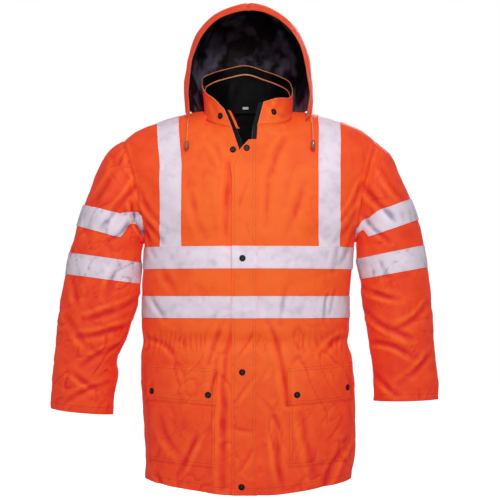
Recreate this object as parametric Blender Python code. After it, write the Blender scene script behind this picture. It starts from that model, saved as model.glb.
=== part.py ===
"""High-visibility hooded parka, filled out as if worn, with nobody in it.

Metres, +Z up. The front faces -Y and the origin is the middle of the neck, between the
shoulders. "right" and "left" are the wearer's: right is -X.
Every cloth piece is a wall between two grids of points. The grids come from the section
tables below: a row for each level of the body, ring of a sleeve or arch of the hood.
"""
import math
from collections import namedtuple

import bmesh
import bpy
from mathutils import Vector
from mathutils.bvhtree import BVHTree

# Cloth thicknesses and gaps
SHELL = 0.0015
LINING = 0.0010
TAPE = 0.0010
LAP = 0.0003            # clear space between two pieces that lie on each other
SEAM = 0.0004           # clear space between two pieces that are sewn edge to edge

# Shape of the body's cross-section: 2 is an ellipse, more is squarer
ROUNDNESS = 2.3
YOKE_STEPS = 4          # grid rows from the shoulder seam down to the first level section
SIDES = {"right": -1, "left": 1}

# Reflective braces, pockets and front opening: distances from the centre line
BRACE_IN = 0.157
BRACE_OUT = 0.2075
POCKET_IN = {"right": 0.076, "left": 0.086}
FRONT_EDGE = {"right": -0.014, "left": 0.010}
# Shares of the way from the side seam to the brace, in depth; the second is the pocket's edge
SIDE_SHARES = (1.0, 0.66, 0.33, 0.0)
COLUMNS = 4 + len(SIDE_SHARES)
POCKET_COLUMNS = (2, 6)
BRACE_COLUMNS = (4, 5)

Section = namedtuple("Section", "name z_front z_side z_back right left front back")
# Level of each section at the centre front, side seam and centre back, half widths to the
# wearer's right and left, and depths in front of and behind the side seam
BODY = [
    Section("chest", -0.120, -0.120, -0.120, 0.330, 0.330, 0.120, 0.118),
    Section("upper_armhole", -0.160, -0.160, -0.160, 0.312, 0.312, 0.129, 0.124),
    Section("mid_armhole", -0.200, -0.200, -0.200, 0.292, 0.292, 0.136, 0.128),
    Section("low_armhole", -0.250, -0.250, -0.250, 0.268, 0.268, 0.141, 0.131),
    Section("armpit", -0.298, -0.298, -0.298, 0.250, 0.247, 0.143, 0.133),
    Section("band_1_top", -0.310, -0.310, -0.310, 0.2505, 0.245, 0.1432, 0.1334),
    Section("band_1_bottom", -0.361, -0.361, -0.361, 0.252, 0.241, 0.144, 0.134),
    Section("band_2_top", -0.424, -0.424, -0.424, 0.256, 0.236, 0.143, 0.134),
    Section("band_2_bottom", -0.474, -0.474, -0.474, 0.256, 0.234, 0.142, 0.134),
    Section("above_waist", -0.503, -0.503, -0.503, 0.257, 0.234, 0.142, 0.135),
    Section("waist", -0.530, -0.530, -0.530, 0.254, 0.230, 0.136, 0.130),
    Section("below_waist", -0.557, -0.555, -0.557, 0.258, 0.237, 0.143, 0.137),
    Section("pocket_top", -0.590, -0.579, -0.588, 0.258, 0.243, 0.145, 0.138),
    Section("flap_middle", -0.631, -0.620, -0.628, 0.257, 0.2475, 0.146, 0.139),
    Section("flap_bottom", -0.671, -0.660, -0.668, 0.256, 0.249, 0.148, 0.140),
    Section("bag_middle", -0.745, -0.733, -0.740, 0.252, 0.250, 0.150, 0.142),
    Section("bag_bottom", -0.816, -0.803, -0.810, 0.250, 0.248, 0.151, 0.143),
    Section("hem", -0.875, -0.852, -0.865, 0.249, 0.241, 0.150, 0.143),
]
LEVEL = {section.name: index for index, section in enumerate(BODY)}
# Distance of the armhole seam from the centre line, a row for each section down to the armpit
Armhole = namedtuple("Armhole", "front back")
ARMHOLE = [
    Armhole(0.277, 0.272),
    Armhole(0.2675, 0.262),
    Armhole(0.260, 0.255),
    Armhole(0.2525, 0.250),
]

Fold = namedtuple("Fold", "side face x_top z_top x_low z_low half_width depth")
# The largest folds of the body: soft troughs between two places, given by their distance
# from the centre line and their height
FOLDS = [
    Fold("right", "front", 0.052, -0.130, 0.047, -0.300, 0.032, 0.0045),
    Fold("right", "front", 0.238, -0.165, 0.178, -0.285, 0.034, 0.0060),
    Fold("left", "front", 0.225, -0.180, 0.160, -0.290, 0.032, 0.0045),
    Fold("right", "front", 0.160, -0.700, 0.125, -0.880, 0.038, 0.0050),
    Fold("left", "front", 0.185, -0.640, 0.160, -0.890, 0.036, 0.0060),
    Fold("right", "back", 0.085, -0.150, 0.130, -0.290, 0.038, 0.0040),
    Fold("left", "back", 0.100, -0.140, 0.125, -0.280, 0.036, 0.0045),
    Fold("right", "back", 0.110, -0.560, 0.125, -0.880, 0.042, 0.0060),
    Fold("left", "back", 0.155, -0.590, 0.140, -0.880, 0.040, 0.0065),
]

TopPoint = namedtuple("TopPoint", "x y z")
# Neckline and shoulder seam, a point for each grid column from the centre outwards
FRONT_TOP = {
    "right": [
        TopPoint(0.041, -0.115, -0.040),
        TopPoint(0.075, -0.091, -0.029),
        TopPoint(0.103, -0.051, -0.012),
        TopPoint(0.104, 0.000, 0.014),
        TopPoint(0.168, 0.000, 0.003),
        TopPoint(0.219, 0.000, -0.013),
        TopPoint(0.247, 0.000, -0.022),
        TopPoint(0.274, 0.000, -0.035),
        TopPoint(0.2975, 0.000, -0.055),
    ],
    "left": [
        TopPoint(0.018, -0.115, -0.033),
        TopPoint(0.062, -0.097, -0.029),
        TopPoint(0.0935, -0.054, -0.012),
        TopPoint(0.100, 0.000, 0.014),
        TopPoint(0.160, 0.000, 0.006),
        TopPoint(0.211, 0.000, -0.010),
        TopPoint(0.241, 0.000, -0.020),
        TopPoint(0.270, 0.000, -0.033),
        TopPoint(0.2965, 0.000, -0.054),
    ],
}
# The back neckline's first three points; from the shoulder on it shares the front's seam
BACK_NECK = [
    TopPoint(0.000, 0.100, 0.030),
    TopPoint(0.040, 0.092, 0.028),
    TopPoint(0.078, 0.062, 0.024),
]

Ring = namedtuple("Ring", "name x_out z_out x_in z_in depth")
# Sleeve rings: outermost and innermost point, and half depth from front to back
SLEEVE = {
    "right": [
        Ring("cap_1", 0.334, -0.078, 0.252, -0.232, 0.088),
        Ring("cap_2", 0.367, -0.140, 0.256, -0.240, 0.092),
        Ring("tape_1_top", 0.3935, -0.2094, 0.262, -0.243, 0.088),
        Ring("tape_1_bottom", 0.4095, -0.258, 0.2565, -0.300, 0.083),
        Ring("tape_2_top", 0.4275, -0.3213, 0.2575, -0.345, 0.079),
        Ring("tape_2_bottom", 0.4385, -0.371, 0.2605, -0.3945, 0.076),
        Ring("above_elbow", 0.4495, -0.428, 0.2665, -0.443, 0.072),
        Ring("elbow_1", 0.4565, -0.484, 0.282, -0.490, 0.068),
        Ring("elbow_2", 0.4625, -0.536, 0.302, -0.540, 0.063),
        Ring("elbow_3", 0.4665, -0.582, 0.3165, -0.577, 0.058),
        Ring("forearm_1", 0.4705, -0.620, 0.3145, -0.606, 0.057),
        Ring("forearm_2", 0.4745, -0.659, 0.3230, -0.660, 0.054),
        Ring("cuff", 0.4740, -0.690, 0.3260, -0.7045, 0.052),
    ],
    "left": [
        Ring("cap_1", 0.331, -0.085, 0.250, -0.219, 0.088),
        Ring("cap_2", 0.358, -0.143, 0.255, -0.226, 0.092),
        Ring("tape_1_top", 0.3815, -0.1945, 0.262, -0.239, 0.088),
        Ring("tape_1_bottom", 0.3990, -0.243, 0.2535, -0.294, 0.083),
        Ring("tape_2_top", 0.4125, -0.3037, 0.2540, -0.336, 0.079),
        Ring("tape_2_bottom", 0.4215, -0.3546, 0.2625, -0.3835, 0.076),
        Ring("above_elbow", 0.4290, -0.420, 0.2650, -0.424, 0.072),
        Ring("elbow_1", 0.4335, -0.480, 0.2740, -0.482, 0.068),
        Ring("elbow_2", 0.4370, -0.535, 0.2850, -0.532, 0.064),
        Ring("elbow_3", 0.4410, -0.580, 0.2900, -0.580, 0.060),
        Ring("forearm_1", 0.4450, -0.615, 0.2925, -0.612, 0.057),
        Ring("forearm_2", 0.4480, -0.645, 0.2945, -0.645, 0.054),
        Ring("cuff", 0.4490, -0.668, 0.2950, -0.672, 0.052),
    ],
}
RING = {ring.name: index + 1 for index, ring in enumerate(SLEEVE["right"])}
AROUND = 16             # grid columns round a sleeve

CollarPoint = namedtuple("CollarPoint", "x y z x_top y_top z_top")
# Collar from the right front edge round the back to the left front edge
COLLAR = [
    CollarPoint(-0.041, -0.115, -0.040, -0.060, -0.100, 0.0065),
    CollarPoint(-0.075, -0.091, -0.029, -0.080, -0.086, 0.029),
    CollarPoint(-0.103, -0.051, -0.012, -0.105, -0.058, 0.052),
    CollarPoint(-0.104, 0.000, 0.014, -0.1145, -0.016, 0.083),
    CollarPoint(-0.098, 0.032, 0.020, -0.113, 0.022, 0.099),
    CollarPoint(-0.078, 0.062, 0.024, -0.095, 0.056, 0.115),
    CollarPoint(-0.040, 0.092, 0.028, -0.058, 0.084, 0.131),
    CollarPoint(0.000, 0.100, 0.030, -0.010, 0.094, 0.141),
    CollarPoint(0.040, 0.092, 0.028, 0.036, 0.088, 0.127),
    CollarPoint(0.078, 0.062, 0.024, 0.074, 0.064, 0.109),
    CollarPoint(0.095, 0.032, 0.020, 0.094, 0.030, 0.092),
    CollarPoint(0.100, 0.000, 0.014, 0.1015, -0.010, 0.068),
    CollarPoint(0.0935, -0.054, -0.012, 0.094, -0.056, 0.040),
    CollarPoint(0.062, -0.097, -0.029, 0.062, -0.090, 0.033),
    CollarPoint(0.018, -0.115, -0.033, 0.032, -0.102, 0.0226),
]
COLLAR_ROWS = 4

Arch = namedtuple("Arch", "x_neck y_neck z_neck y_seam z_seam half_width")
# Hood arches from the face opening to the nape: foot on the neckline, top on the centre
# seam, and the greatest half width
HOOD = [
    Arch(0.136, -0.088, -0.014, -0.078, 0.240, 0.1460),
    Arch(0.150, -0.048, 0.006, -0.040, 0.261, 0.1520),
    Arch(0.141, 0.000, 0.016, 0.025, 0.2735, 0.1530),
    Arch(0.126, 0.038, 0.012, 0.092, 0.266, 0.1490),
    Arch(0.106, 0.070, 0.006, 0.148, 0.222, 0.1360),
    Arch(0.084, 0.093, 0.010, 0.170, 0.152, 0.1160),
    Arch(0.056, 0.107, 0.012, 0.156, 0.082, 0.0860),
    Arch(0.028, 0.114, 0.014, 0.128, 0.030, 0.0340),
]
HOOD_SHIFT = -0.0035    # the hood hangs a little to the wearer's right
# Heights along an arch, as shares of the way from foot to centre seam
ARCH_SHARES = (0.0, 0.17, 0.34, 0.50, 0.65, 0.79, 0.90, 0.97, 1.0)

# Front zip: tape beyond the front edge, and the guard beyond that at the collar
ZIP_TAPE = (0.0004, 0.0060, 0.0110)
ZIP_GUARD = (0.0120, 0.0155, 0.0190)

# Storm flap over the front zip: level, and its free (right) and sewn (left) edges
FlapRow = namedtuple("FlapRow", "z x_free x_sewn")
FLAP_TOP = [
    FlapRow(-0.066, -0.003, 0.016),
    FlapRow(-0.0855, -0.0205, 0.016),
    FlapRow(-0.105, -0.0325, 0.016),
]
FLAP_FREE = -0.041
FLAP_SEWN = 0.016
FLAP_COLUMNS = 4
FLAP_LIFT = LAP + TAPE + 2 * LAP

# Thin binding round the inside of the collar, and the blank label at the nape
BINDING_DROP = 0.022
BINDING_HALF = 0.0013
BINDING_COLUMNS = (3, 11)
LABEL_SIZE = (0.014, 0.006)
LABEL_PLACE = Vector((-0.011, 0.0925, 0.0365))

# Press studs
STUD_RADIUS = 0.0072
STUD_HEIGHT = 0.0030
STUD_GAP = 0.0005
STUD_PROFILE = [(0.93, 0.0), (1.0, 0.35), (0.86, 0.8), (0.5, 1.0)]     # shares of radius and height

Place = namedtuple("Place", "name x z")
STUDS = [
    Place("collar_right", -0.0680, -0.0085),
    Place("collar_left", 0.0543, 0.0005),
    Place("front_socket", -0.0388, -0.0884),
    Place("flap_top", -0.0075, -0.0853),
    Place("flap_chest", -0.0170, -0.338),
    Place("flap_waist", -0.0177, -0.596),
    Place("flap_hem", -0.0190, -0.855),
    Place("pocket_right_outer", -0.2265, -0.643),
    Place("pocket_right_inner", -0.0950, -0.6475),
    Place("pocket_left_inner", 0.1067, -0.6475),
    Place("pocket_left_outer", 0.2255, -0.635),
]

# Drawcords of the hood: each leaves the casing's front corner and hangs on the chest
CordPoint = namedtuple("CordPoint", "x y z")
CORD = [
    CordPoint(0.1425, -0.0800, -0.0125),
    CordPoint(0.1430, -0.0880, -0.0190),
    CordPoint(0.1435, -0.1010, -0.0320),
    CordPoint(0.1440, -0.1115, -0.0470),
    CordPoint(0.1445, -0.1170, -0.0600),
    CordPoint(0.1445, -0.1185, -0.0680),
]
CORD_RADIUS = 0.0014
CORD_STEP = 0.0040
TOGGLE_LENGTH = 0.0190
TOGGLE_RADIUS = 0.0062
TOGGLE_PROFILE = [(0.55, 0.0), (0.90, 0.16), (1.0, 0.5), (0.84, 0.86), (0.48, 1.0)]

COLORS = {
    "shell": ((0.79, 0.085, 0.022), 0.62, 0.0),
    "lining": ((0.010, 0.010, 0.014), 0.55, 0.0),
    "reflective": ((0.66, 0.60, 0.68), 0.35, 0.0),
    "binding": ((0.80, 0.17, 0.05), 0.55, 0.0),
    "zip": ((0.020, 0.020, 0.024), 0.60, 0.0),
    "stud": ((0.012, 0.012, 0.013), 0.32, 0.3),
    "toggle": ((0.42, 0.10, 0.03), 0.35, 0.0),
    "label": ((0.35, 0.35, 0.36), 0.70, 0.0),
}


def make_materials():
    """One Principled material for each finish."""
    made = {}
    for name, (color, roughness, metallic) in COLORS.items():
        material = bpy.data.materials.new(name)
        material.use_nodes = True
        shader = material.node_tree.nodes["Principled BSDF"]
        shader.inputs["Base Color"].default_value = (*color, 1.0)
        shader.inputs["Roughness"].default_value = roughness
        shader.inputs["Metallic"].default_value = metallic
        material.diffuse_color = (*color, 1.0)
        made[name] = material
    return made


def mix(a, b, share):
    """The value a given share of the way from a to b."""
    return a + (b - a) * share


def ease(share):
    """0 to 1 with a soft start and end."""
    share = min(max(share, 0.0), 1.0)
    return share * share * (3 - 2 * share)


def along(table, index, column):
    """A column of a table at a fractional row, on a smooth curve through its rows."""
    last = len(table) - 1
    index = min(max(index, 0.0), float(last))
    row = min(int(index), last - 1)
    t = index - row
    b = getattr(table[row], column)
    c = getattr(table[row + 1], column)
    a = getattr(table[row - 1], column) if row > 0 else 2 * b - c
    d = getattr(table[row + 2], column) if row + 2 <= last else 2 * c - b
    return 0.5 * (2 * b + (c - a) * t + (2 * a - 5 * b + 4 * c - d) * t * t
                  + (3 * b - a - 3 * c + d) * t ** 3)


def build(name, vertices, faces, slot):
    """An object with outward faces from points and faces."""
    mesh = bpy.data.meshes.new(name)
    work = bmesh.new()
    points = [work.verts.new(vertex) for vertex in vertices]
    for face in faces:
        work.faces.new([points[index] for index in face])
    bmesh.ops.recalc_face_normals(work, faces=work.faces)
    work.to_mesh(mesh)
    work.free()
    mesh.shade_smooth()
    mesh.set_sharp_from_angle(angle=math.radians(40))
    mesh.materials.append(materials[slot])
    made = bpy.data.objects.new(name, mesh)
    bpy.context.collection.objects.link(made)
    return made


# ---------------------------------------------------------------- grids and walls

def face_normals(points, ring, outward):
    """A normal for each grid point, summed from the cells round it."""
    rows = len(points)
    columns = len(points[0])
    normals = [[Vector((0, 0, 0)) for _ in range(columns)] for _ in range(rows)]
    for r in range(rows - 1):
        for c in range(columns if ring else columns - 1):
            n = (c + 1) % columns
            corners = (points[r][c], points[r][n], points[r + 1][n], points[r + 1][c])
            normal = (corners[2] - corners[0]).cross(corners[3] - corners[1]) * outward
            for row, column in ((r, c), (r, n), (r + 1, n), (r + 1, c)):
                normals[row][column] += normal
    for line in normals:
        for normal in line:
            normal.normalize()
    return normals


def share_normals(sheets):
    """Give coinciding points of neighbouring sheets one normal, if they face the same way."""
    meeting = {}
    for sheet in sheets:
        for r, line in enumerate(sheet["points"]):
            for c, point in enumerate(line):
                key = tuple(round(value, 5) for value in point)
                meeting.setdefault(key, []).append((sheet, r, c))
    for group in meeting.values():
        first_sheet, first_row, first_column = group[0]
        first = first_sheet["normals"][first_row][first_column].copy()
        alike = [place for place in group if place[0]["normals"][place[1]][place[2]].dot(first) > 0.1]
        total = sum((sheet["normals"][r][c] for sheet, r, c in alike), Vector((0, 0, 0)))
        total.normalize()
        for sheet, r, c in alike:
            sheet["normals"][r][c] = total.copy()


def make_sheet(points, outward, ring=False):
    """A grid of points with its normals."""
    return {"points": points, "normals": face_normals(points, ring, outward), "ring": ring}


def part_of(sheet, rows, columns, ring=False):
    """The stretch of a sheet between two rows and two columns, both included."""
    first_row, last_row = rows
    picked = range(columns[0], columns[1] + 1)
    count = len(sheet["points"][0])
    return {
        key: [[sheet[key][r][c % count] for c in picked] for r in range(first_row, last_row + 1)]
        for key in ("points", "normals")
    } | {"ring": ring}


def whole_rows(sheet, first_row, last_row):
    """A closed band of a sheet that goes all the way round."""
    return {
        "points": sheet["points"][first_row:last_row + 1],
        "normals": sheet["normals"][first_row:last_row + 1],
        "ring": sheet["ring"],
    }


def trimmed(points, ring, margin):
    """The grid with its border drawn in by the margin."""
    result = [[point.copy() for point in line] for line in points]
    for line, start in zip(result, points):
        if not ring:
            line[0] += (start[1] - start[0]).normalized() * margin
            line[-1] += (start[-2] - start[-1]).normalized() * margin
    for c in range(len(points[0])):
        result[0][c] += (points[1][c] - points[0][c]).normalized() * margin
        result[-1][c] += (points[-2][c] - points[-1][c]).normalized() * margin
    return result


def folds_outwards(sheet, corners):
    """Whether a cell's second diagonal stands further out than its first."""
    columns = len(sheet["points"][0])
    points = [sheet["points"][r][c % columns] for r, c in corners]
    normal = sum((sheet["normals"][r][c % columns] for r, c in corners), Vector((0, 0, 0)))
    return (points[1] + points[3] - points[0] - points[2]).dot(normal) > 0


def wall(name, sheet, low, high, slot, margin=SEAM / 2):
    """A closed wall between two distances from a sheet, measured outwards."""
    ring = sheet["ring"]
    points = trimmed(sheet["points"], ring, margin)
    rows = len(points)
    columns = len(points[0])
    vertices = []
    for distance in (high, low):
        for line, normals in zip(points, sheet["normals"]):
            vertices += [point + normal * distance for point, normal in zip(line, normals)]
    size = rows * columns

    def at(layer, r, c):
        return layer * size + r * columns + c % columns

    faces = []
    for r in range(rows - 1):
        for c in range(columns if ring else columns - 1):
            corners = ((r, c), (r, c + 1), (r + 1, c + 1), (r + 1, c))
            if folds_outwards(sheet, corners):
                corners = corners[1:] + corners[:1]
            for layer in (0, 1):
                first, second, third, fourth = (at(layer, *corner) for corner in corners)
                faces += [(first, second, third), (first, third, fourth)]
    for r in (0, rows - 1):
        for c in range(columns if ring else columns - 1):
            faces.append((at(0, r, c), at(1, r, c), at(1, r, c + 1), at(0, r, c + 1)))
    if not ring:
        for c in (0, columns - 1):
            for r in range(rows - 1):
                faces.append((at(0, r, c), at(0, r + 1, c), at(1, r + 1, c), at(1, r, c)))
    return build(name, vertices, faces, slot)


# ---------------------------------------------------------------- body

def depth_at(x, half_width, depth):
    """How far the body's section stands from the side seam's plane at a distance x."""
    share = min(abs(x) / half_width, 1.0)
    return depth * (1 - share ** ROUNDNESS) ** (1 / ROUNDNESS)


def width_at(y, half_width, depth):
    """The other way round: the distance from the centre line at a depth y."""
    share = min(y / depth, 1.0)
    return half_width * (1 - share ** ROUNDNESS) ** (1 / ROUNDNESS)


def top_point(side, face, column):
    """Neckline or shoulder seam at a grid column."""
    if face == "back" and column < len(BACK_NECK):
        return BACK_NECK[column]
    return FRONT_TOP[side][column]


def fold_depth(side, face, x, z):
    """How far the folds draw the cloth in at a place on the body."""
    drawn = 0.0
    for fold in FOLDS:
        if (fold.side, fold.face) != (side, face):
            continue
        run = (fold.x_low - fold.x_top, fold.z_low - fold.z_top)
        length = run[0] ** 2 + run[1] ** 2
        share = ((x - fold.x_top) * run[0] + (z - fold.z_top) * run[1]) / length
        share = min(max(share, 0.0), 1.0)
        away = math.hypot(x - fold.x_top - share * run[0], z - fold.z_top - share * run[1])
        drawn += fold.depth * ease(1 - away / fold.half_width)
    return drawn


def level_point(side, face, column, row):
    """Point of a level section, as distance from the centre line, depth and height."""
    half_width = along(BODY, row, side)
    depth = along(BODY, row, face)
    inner = FRONT_EDGE[side] * SIDES[side] if face == "front" else 0.0
    pocket = POCKET_IN[side]
    inner_columns = (inner, (inner + pocket) / 2, pocket, (pocket + BRACE_IN) / 2, BRACE_IN)
    if column < len(inner_columns):
        x = inner_columns[column]
        y = depth_at(x, half_width, depth)
    else:
        edge_x = half_width
        if row < len(ARMHOLE):
            edge_x = getattr(ARMHOLE[row], face)
        edge_y = depth_at(edge_x, half_width, depth)
        brace_y = depth_at(BRACE_OUT, half_width, depth)
        y = mix(edge_y, brace_y, SIDE_SHARES[column - len(inner_columns)])
        x = width_at(y, half_width, depth)
    middle = along(BODY, row, "z_front" if face == "front" else "z_back")
    share = min(max((x - 0.06) / (half_width - 0.06), 0.0), 1.0)
    z = mix(middle, along(BODY, row, "z_side"), share)
    return x, y - fold_depth(side, face, x, z), z


def body_point(side, face, column, line):
    """Point of the body's grid; the first lines round over the shoulder."""
    forward = -1 if face == "front" else 1
    if line >= YOKE_STEPS:
        x, y, z = level_point(side, face, column, line - YOKE_STEPS)
        return Vector((SIDES[side] * x, forward * y, z))
    top = top_point(side, face, column)
    x, y, z = level_point(side, face, column, 0)
    turn = math.radians(90) * line / YOKE_STEPS
    return Vector((
        SIDES[side] * mix(x, top.x, math.cos(turn)),
        mix(top.y, forward * y, math.sin(turn)),
        mix(z, top.z, math.cos(turn)),
    ))


def body_grid(side, face):
    """All lines of one half of the body, from the centre to the side."""
    lines = range(YOKE_STEPS + len(BODY))
    return [[body_point(side, face, c, line) for c in range(COLUMNS + 1)] for line in lines]


# ---------------------------------------------------------------- sleeves

def armhole_loop(side):
    """Points of the armhole from the shoulder down the front and up the back."""
    low = YOKE_STEPS + len(ARMHOLE)
    front = [body_point(side, "front", COLUMNS, line) for line in range(low + 1)]
    back = [body_point(side, "back", COLUMNS, line) for line in range(low - 1, 0, -1)]
    return front + back


def ring_point(side, ring, turn):
    """Point of a sleeve ring; turn 0 is outermost, 90 degrees is the front."""
    outer = Vector((ring.x_out, 0, ring.z_out))
    inner = Vector((ring.x_in, 0, ring.z_in))
    point = (outer + inner) / 2 + (outer - inner) / 2 * math.cos(turn)
    point.y = -ring.depth * math.sin(turn)
    return Vector((SIDES[side] * point.x, point.y, point.z))


def sleeve_grid(side):
    """Rings of a sleeve; the cap's underside runs straight from the armhole."""
    loop = armhole_loop(side)
    rings = SLEEVE[side]
    first_free = RING["tape_1_bottom"]
    turns = [math.radians(360) * index / AROUND for index in range(AROUND)]
    grid = [loop]
    for number, ring in enumerate(rings, start=1):
        line = []
        for index, turn in enumerate(turns):
            point = ring_point(side, ring, turn)
            if number < first_free:
                free = ring_point(side, rings[first_free - 1], turn)
                straight = loop[index].lerp(free, number / first_free)
                under = ease((abs(math.pi - turn) - math.radians(20)) / math.radians(45))
                point = straight.lerp(point, under)
            line.append(point)
        grid.append(line)
    return grid


# ---------------------------------------------------------------- collar and hood

def collar_grid():
    """Collar from its top edge down to the neckline seam."""
    grid = []
    for row in range(COLLAR_ROWS + 1):
        share = row / COLLAR_ROWS
        line = []
        for column, foot in enumerate(COLLAR):
            top = Vector((foot.x_top, foot.y_top, foot.z_top))
            base = Vector((foot.x, foot.y, foot.z))
            line.append(top.lerp(base, share))
        grid.append(line)
    return grid


def hood_grid(side):
    """Half hood: a line for each arch, from its foot up to the centre seam."""
    grid = []
    for arch in HOOD:
        line = []
        for share in ARCH_SHARES:
            foot_pull = (arch.half_width - arch.x_neck) * (1 - share) ** 3
            x = math.sqrt(1 - share ** 3) * (arch.half_width - foot_pull)
            line.append(Vector((
                SIDES[side] * x + HOOD_SHIFT,
                mix(arch.y_neck, arch.y_seam, share),
                mix(arch.z_neck, arch.z_seam, share),
            )))
        grid.append(line)
    return grid


def collar_binding():
    """A narrow strip round the collar, a little below its top edge."""
    line_up = []
    for foot in COLLAR[BINDING_COLUMNS[0]:BINDING_COLUMNS[1] + 1]:
        top = Vector((foot.x_top, foot.y_top, foot.z_top))
        down = (Vector((foot.x, foot.y, foot.z)) - top).normalized()
        line_up.append((top + down * (BINDING_DROP - BINDING_HALF),
                        top + down * (BINDING_DROP + BINDING_HALF)))
    return [list(line) for line in zip(*line_up)]


def front_strip(side, reaches, lines):
    """A strip that carries on past the front edge, down the collar and then the front."""
    collar = sheets["collar"]["points"]
    if side == "left":
        collar = [list(reversed(line)) for line in collar]
    rows = collar + sheets["front_" + side]["points"][1:]
    strip = []
    for line in rows[:lines]:
        onward = (line[0] - line[1]).normalized()
        strip.append([line[0] + onward * reach for reach in reaches])
    return strip


# ---------------------------------------------------------------- fittings

def front_depth(x, z):
    """Depth of the front at a place near the centre line."""
    side = "right" if x < 0 else "left"
    row = 0.0
    while row < len(BODY) - 1 and along(BODY, row, "z_front") > z:
        row += 0.05
    return depth_at(x, along(BODY, row, side), along(BODY, row, "front"))


def flap_grid():
    """Storm flap from its top down to the hem."""
    rows = list(FLAP_TOP)
    rows += [FlapRow(section.z_front, FLAP_FREE, FLAP_SEWN) for section in BODY]
    grid = []
    for row in rows:
        line = []
        for column in range(FLAP_COLUMNS + 1):
            x = mix(row.x_free, row.x_sewn, column / FLAP_COLUMNS)
            line.append(Vector((x, -front_depth(x, row.z), row.z)))
        grid.append(line)
    return grid


def front_hit(x, z):
    """Outermost cloth in front at a place, with the direction it faces."""
    best = None
    for made in bpy.context.collection.objects:
        if made.type != "MESH":
            continue
        points = [vertex.co for vertex in made.data.vertices]
        faces = [tuple(face.vertices) for face in made.data.polygons]
        tree = BVHTree.FromPolygons(points, faces)
        place, normal, _, _ = tree.ray_cast(Vector((x, -1, z)), Vector((0, 1, 0)))
        if place and (best is None or place.y < best[0].y):
            best = (place, normal)
    return best


def turned(name, place, axis, profile, slot, sides=12):
    """A round solid: (radius, height) pairs from its base to its top, both closed."""
    aim = axis.to_track_quat("Z", "Y")
    vertices = []
    for radius, height in profile:
        for index in range(sides):
            turn = math.radians(360) * index / sides
            local = Vector((radius * math.cos(turn), radius * math.sin(turn), height))
            vertices.append(place + aim @ local)
    faces = [tuple(range(sides)), tuple(range((len(profile) - 1) * sides, len(profile) * sides))]
    for ring in range(len(profile) - 1):
        for index in range(sides):
            after = (index + 1) % sides
            faces.append((ring * sides + index, ring * sides + after,
                          (ring + 1) * sides + after, (ring + 1) * sides + index))
    return build(name, vertices, faces, slot)


def stud(name, x, z):
    """Press stud cap standing on the cloth."""
    place, normal = front_hit(x, z)
    profile = [(STUD_RADIUS * across, STUD_HEIGHT * up) for across, up in STUD_PROFILE]
    turned(name, place + normal * STUD_GAP, normal, profile, "stud")


def smooth_route(places, step):
    """Points a step apart on a smooth curve through the given places."""
    last = len(places) - 1
    count = max(2, round(sum(math.dist(a, b) for a, b in zip(places, places[1:])) / step))
    indices = [last * number / count for number in range(count + 1)]
    return [Vector([along(places, index, axis) for axis in "xyz"]) for index in indices]


def tube(name, route, radius, slot):
    """A cord along a route, as a curve with closed ends."""
    curve = bpy.data.curves.new(name, "CURVE")
    curve.dimensions = "3D"
    curve.bevel_depth = radius
    curve.bevel_resolution = 2
    curve.use_fill_caps = True
    spline = curve.splines.new("POLY")
    spline.points.add(len(route) - 1)
    for point, place in zip(spline.points, route):
        point.co = (*place, 1.0)
    curve.materials.append(materials[slot])
    made = bpy.data.objects.new(name, curve)
    bpy.context.collection.objects.link(made)


def drawcord(side):
    """Cord and toggle that hang from one front corner of the hood."""
    sign = SIDES[side]
    places = [CordPoint(sign * point.x, point.y, point.z) for point in CORD]
    route = smooth_route(places, CORD_STEP)
    tube("drawcord_" + side, route, CORD_RADIUS, "binding")
    down = Vector((0, 0, -1))
    profile = [(TOGGLE_RADIUS * across, TOGGLE_LENGTH * along_it) for across, along_it in TOGGLE_PROFILE]
    turned("toggle_" + side, route[-1] + down * LAP, down, profile, "toggle", sides=10)


# ---------------------------------------------------------------- the garment

for leftover in list(bpy.data.objects):
    bpy.data.objects.remove(leftover, do_unlink=True)
materials = make_materials()

sheets = {}
for side, sign in SIDES.items():
    sheets["front_" + side] = make_sheet(body_grid(side, "front"), -sign)
back_right = body_grid("right", "back")
back_left = body_grid("left", "back")
whole_back = [list(reversed(right)) + left[1:] for right, left in zip(back_right, back_left)]
sheets["back"] = make_sheet(whole_back, 1)
sheets["collar"] = make_sheet(collar_grid(), 1)
for side, sign in SIDES.items():
    sheets["sleeve_" + side] = make_sheet(sleeve_grid(side), sign, ring=True)
share_normals(sheets.values())

for name in ("front_right", "front_left", "back", "collar", "sleeve_right", "sleeve_left"):
    wall(name, sheets[name], -SHELL, 0.0, "shell")

# Linings that show: inside the collar and behind the open neck
inside = -SHELL - LAP
wall("collar_lining", sheets["collar"], inside - LINING, inside, "lining")
middle = COLUMNS
nape = part_of(sheets["back"], (0, YOKE_STEPS + LEVEL["mid_armhole"]), (middle - 5, middle + 5))
wall("back_lining", nape, inside - LINING, inside, "lining")
binding = make_sheet(collar_binding(), 1)
wall("collar_binding", binding, inside - LINING - LAP - TAPE, inside - LINING - LAP, "binding")

# Hood halves, sewn at the centre, each with its lining
halves = {side: make_sheet(hood_grid(side), -sign) for side, sign in SIDES.items()}
share_normals(halves.values())
for side, half in halves.items():
    wall("hood_" + side, half, -SHELL, 0.0, "shell")
    wall("hood_lining_" + side, half, inside - LINING, inside, "lining", margin=0.0010)

# Zip tapes down both front edges, and the guard behind the zip at the collar
for side, sign in SIDES.items():
    strip = make_sheet(front_strip(side, ZIP_TAPE, YOKE_STEPS + COLLAR_ROWS + len(BODY)), sign)
    wall("zip_tape_" + side, strip, -TAPE - LAP, -LAP, "zip")
guard = make_sheet(front_strip("right", ZIP_GUARD, COLLAR_ROWS), -1)
wall("zip_guard", guard, -TAPE - LAP, -LAP, "shell")

# Storm flap, with its own lengths of tape
flap = make_sheet(flap_grid(), -1)
wall("storm_flap", flap, FLAP_LIFT, FLAP_LIFT + SHELL, "shell")
on_flap = FLAP_LIFT + SHELL + LAP

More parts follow.
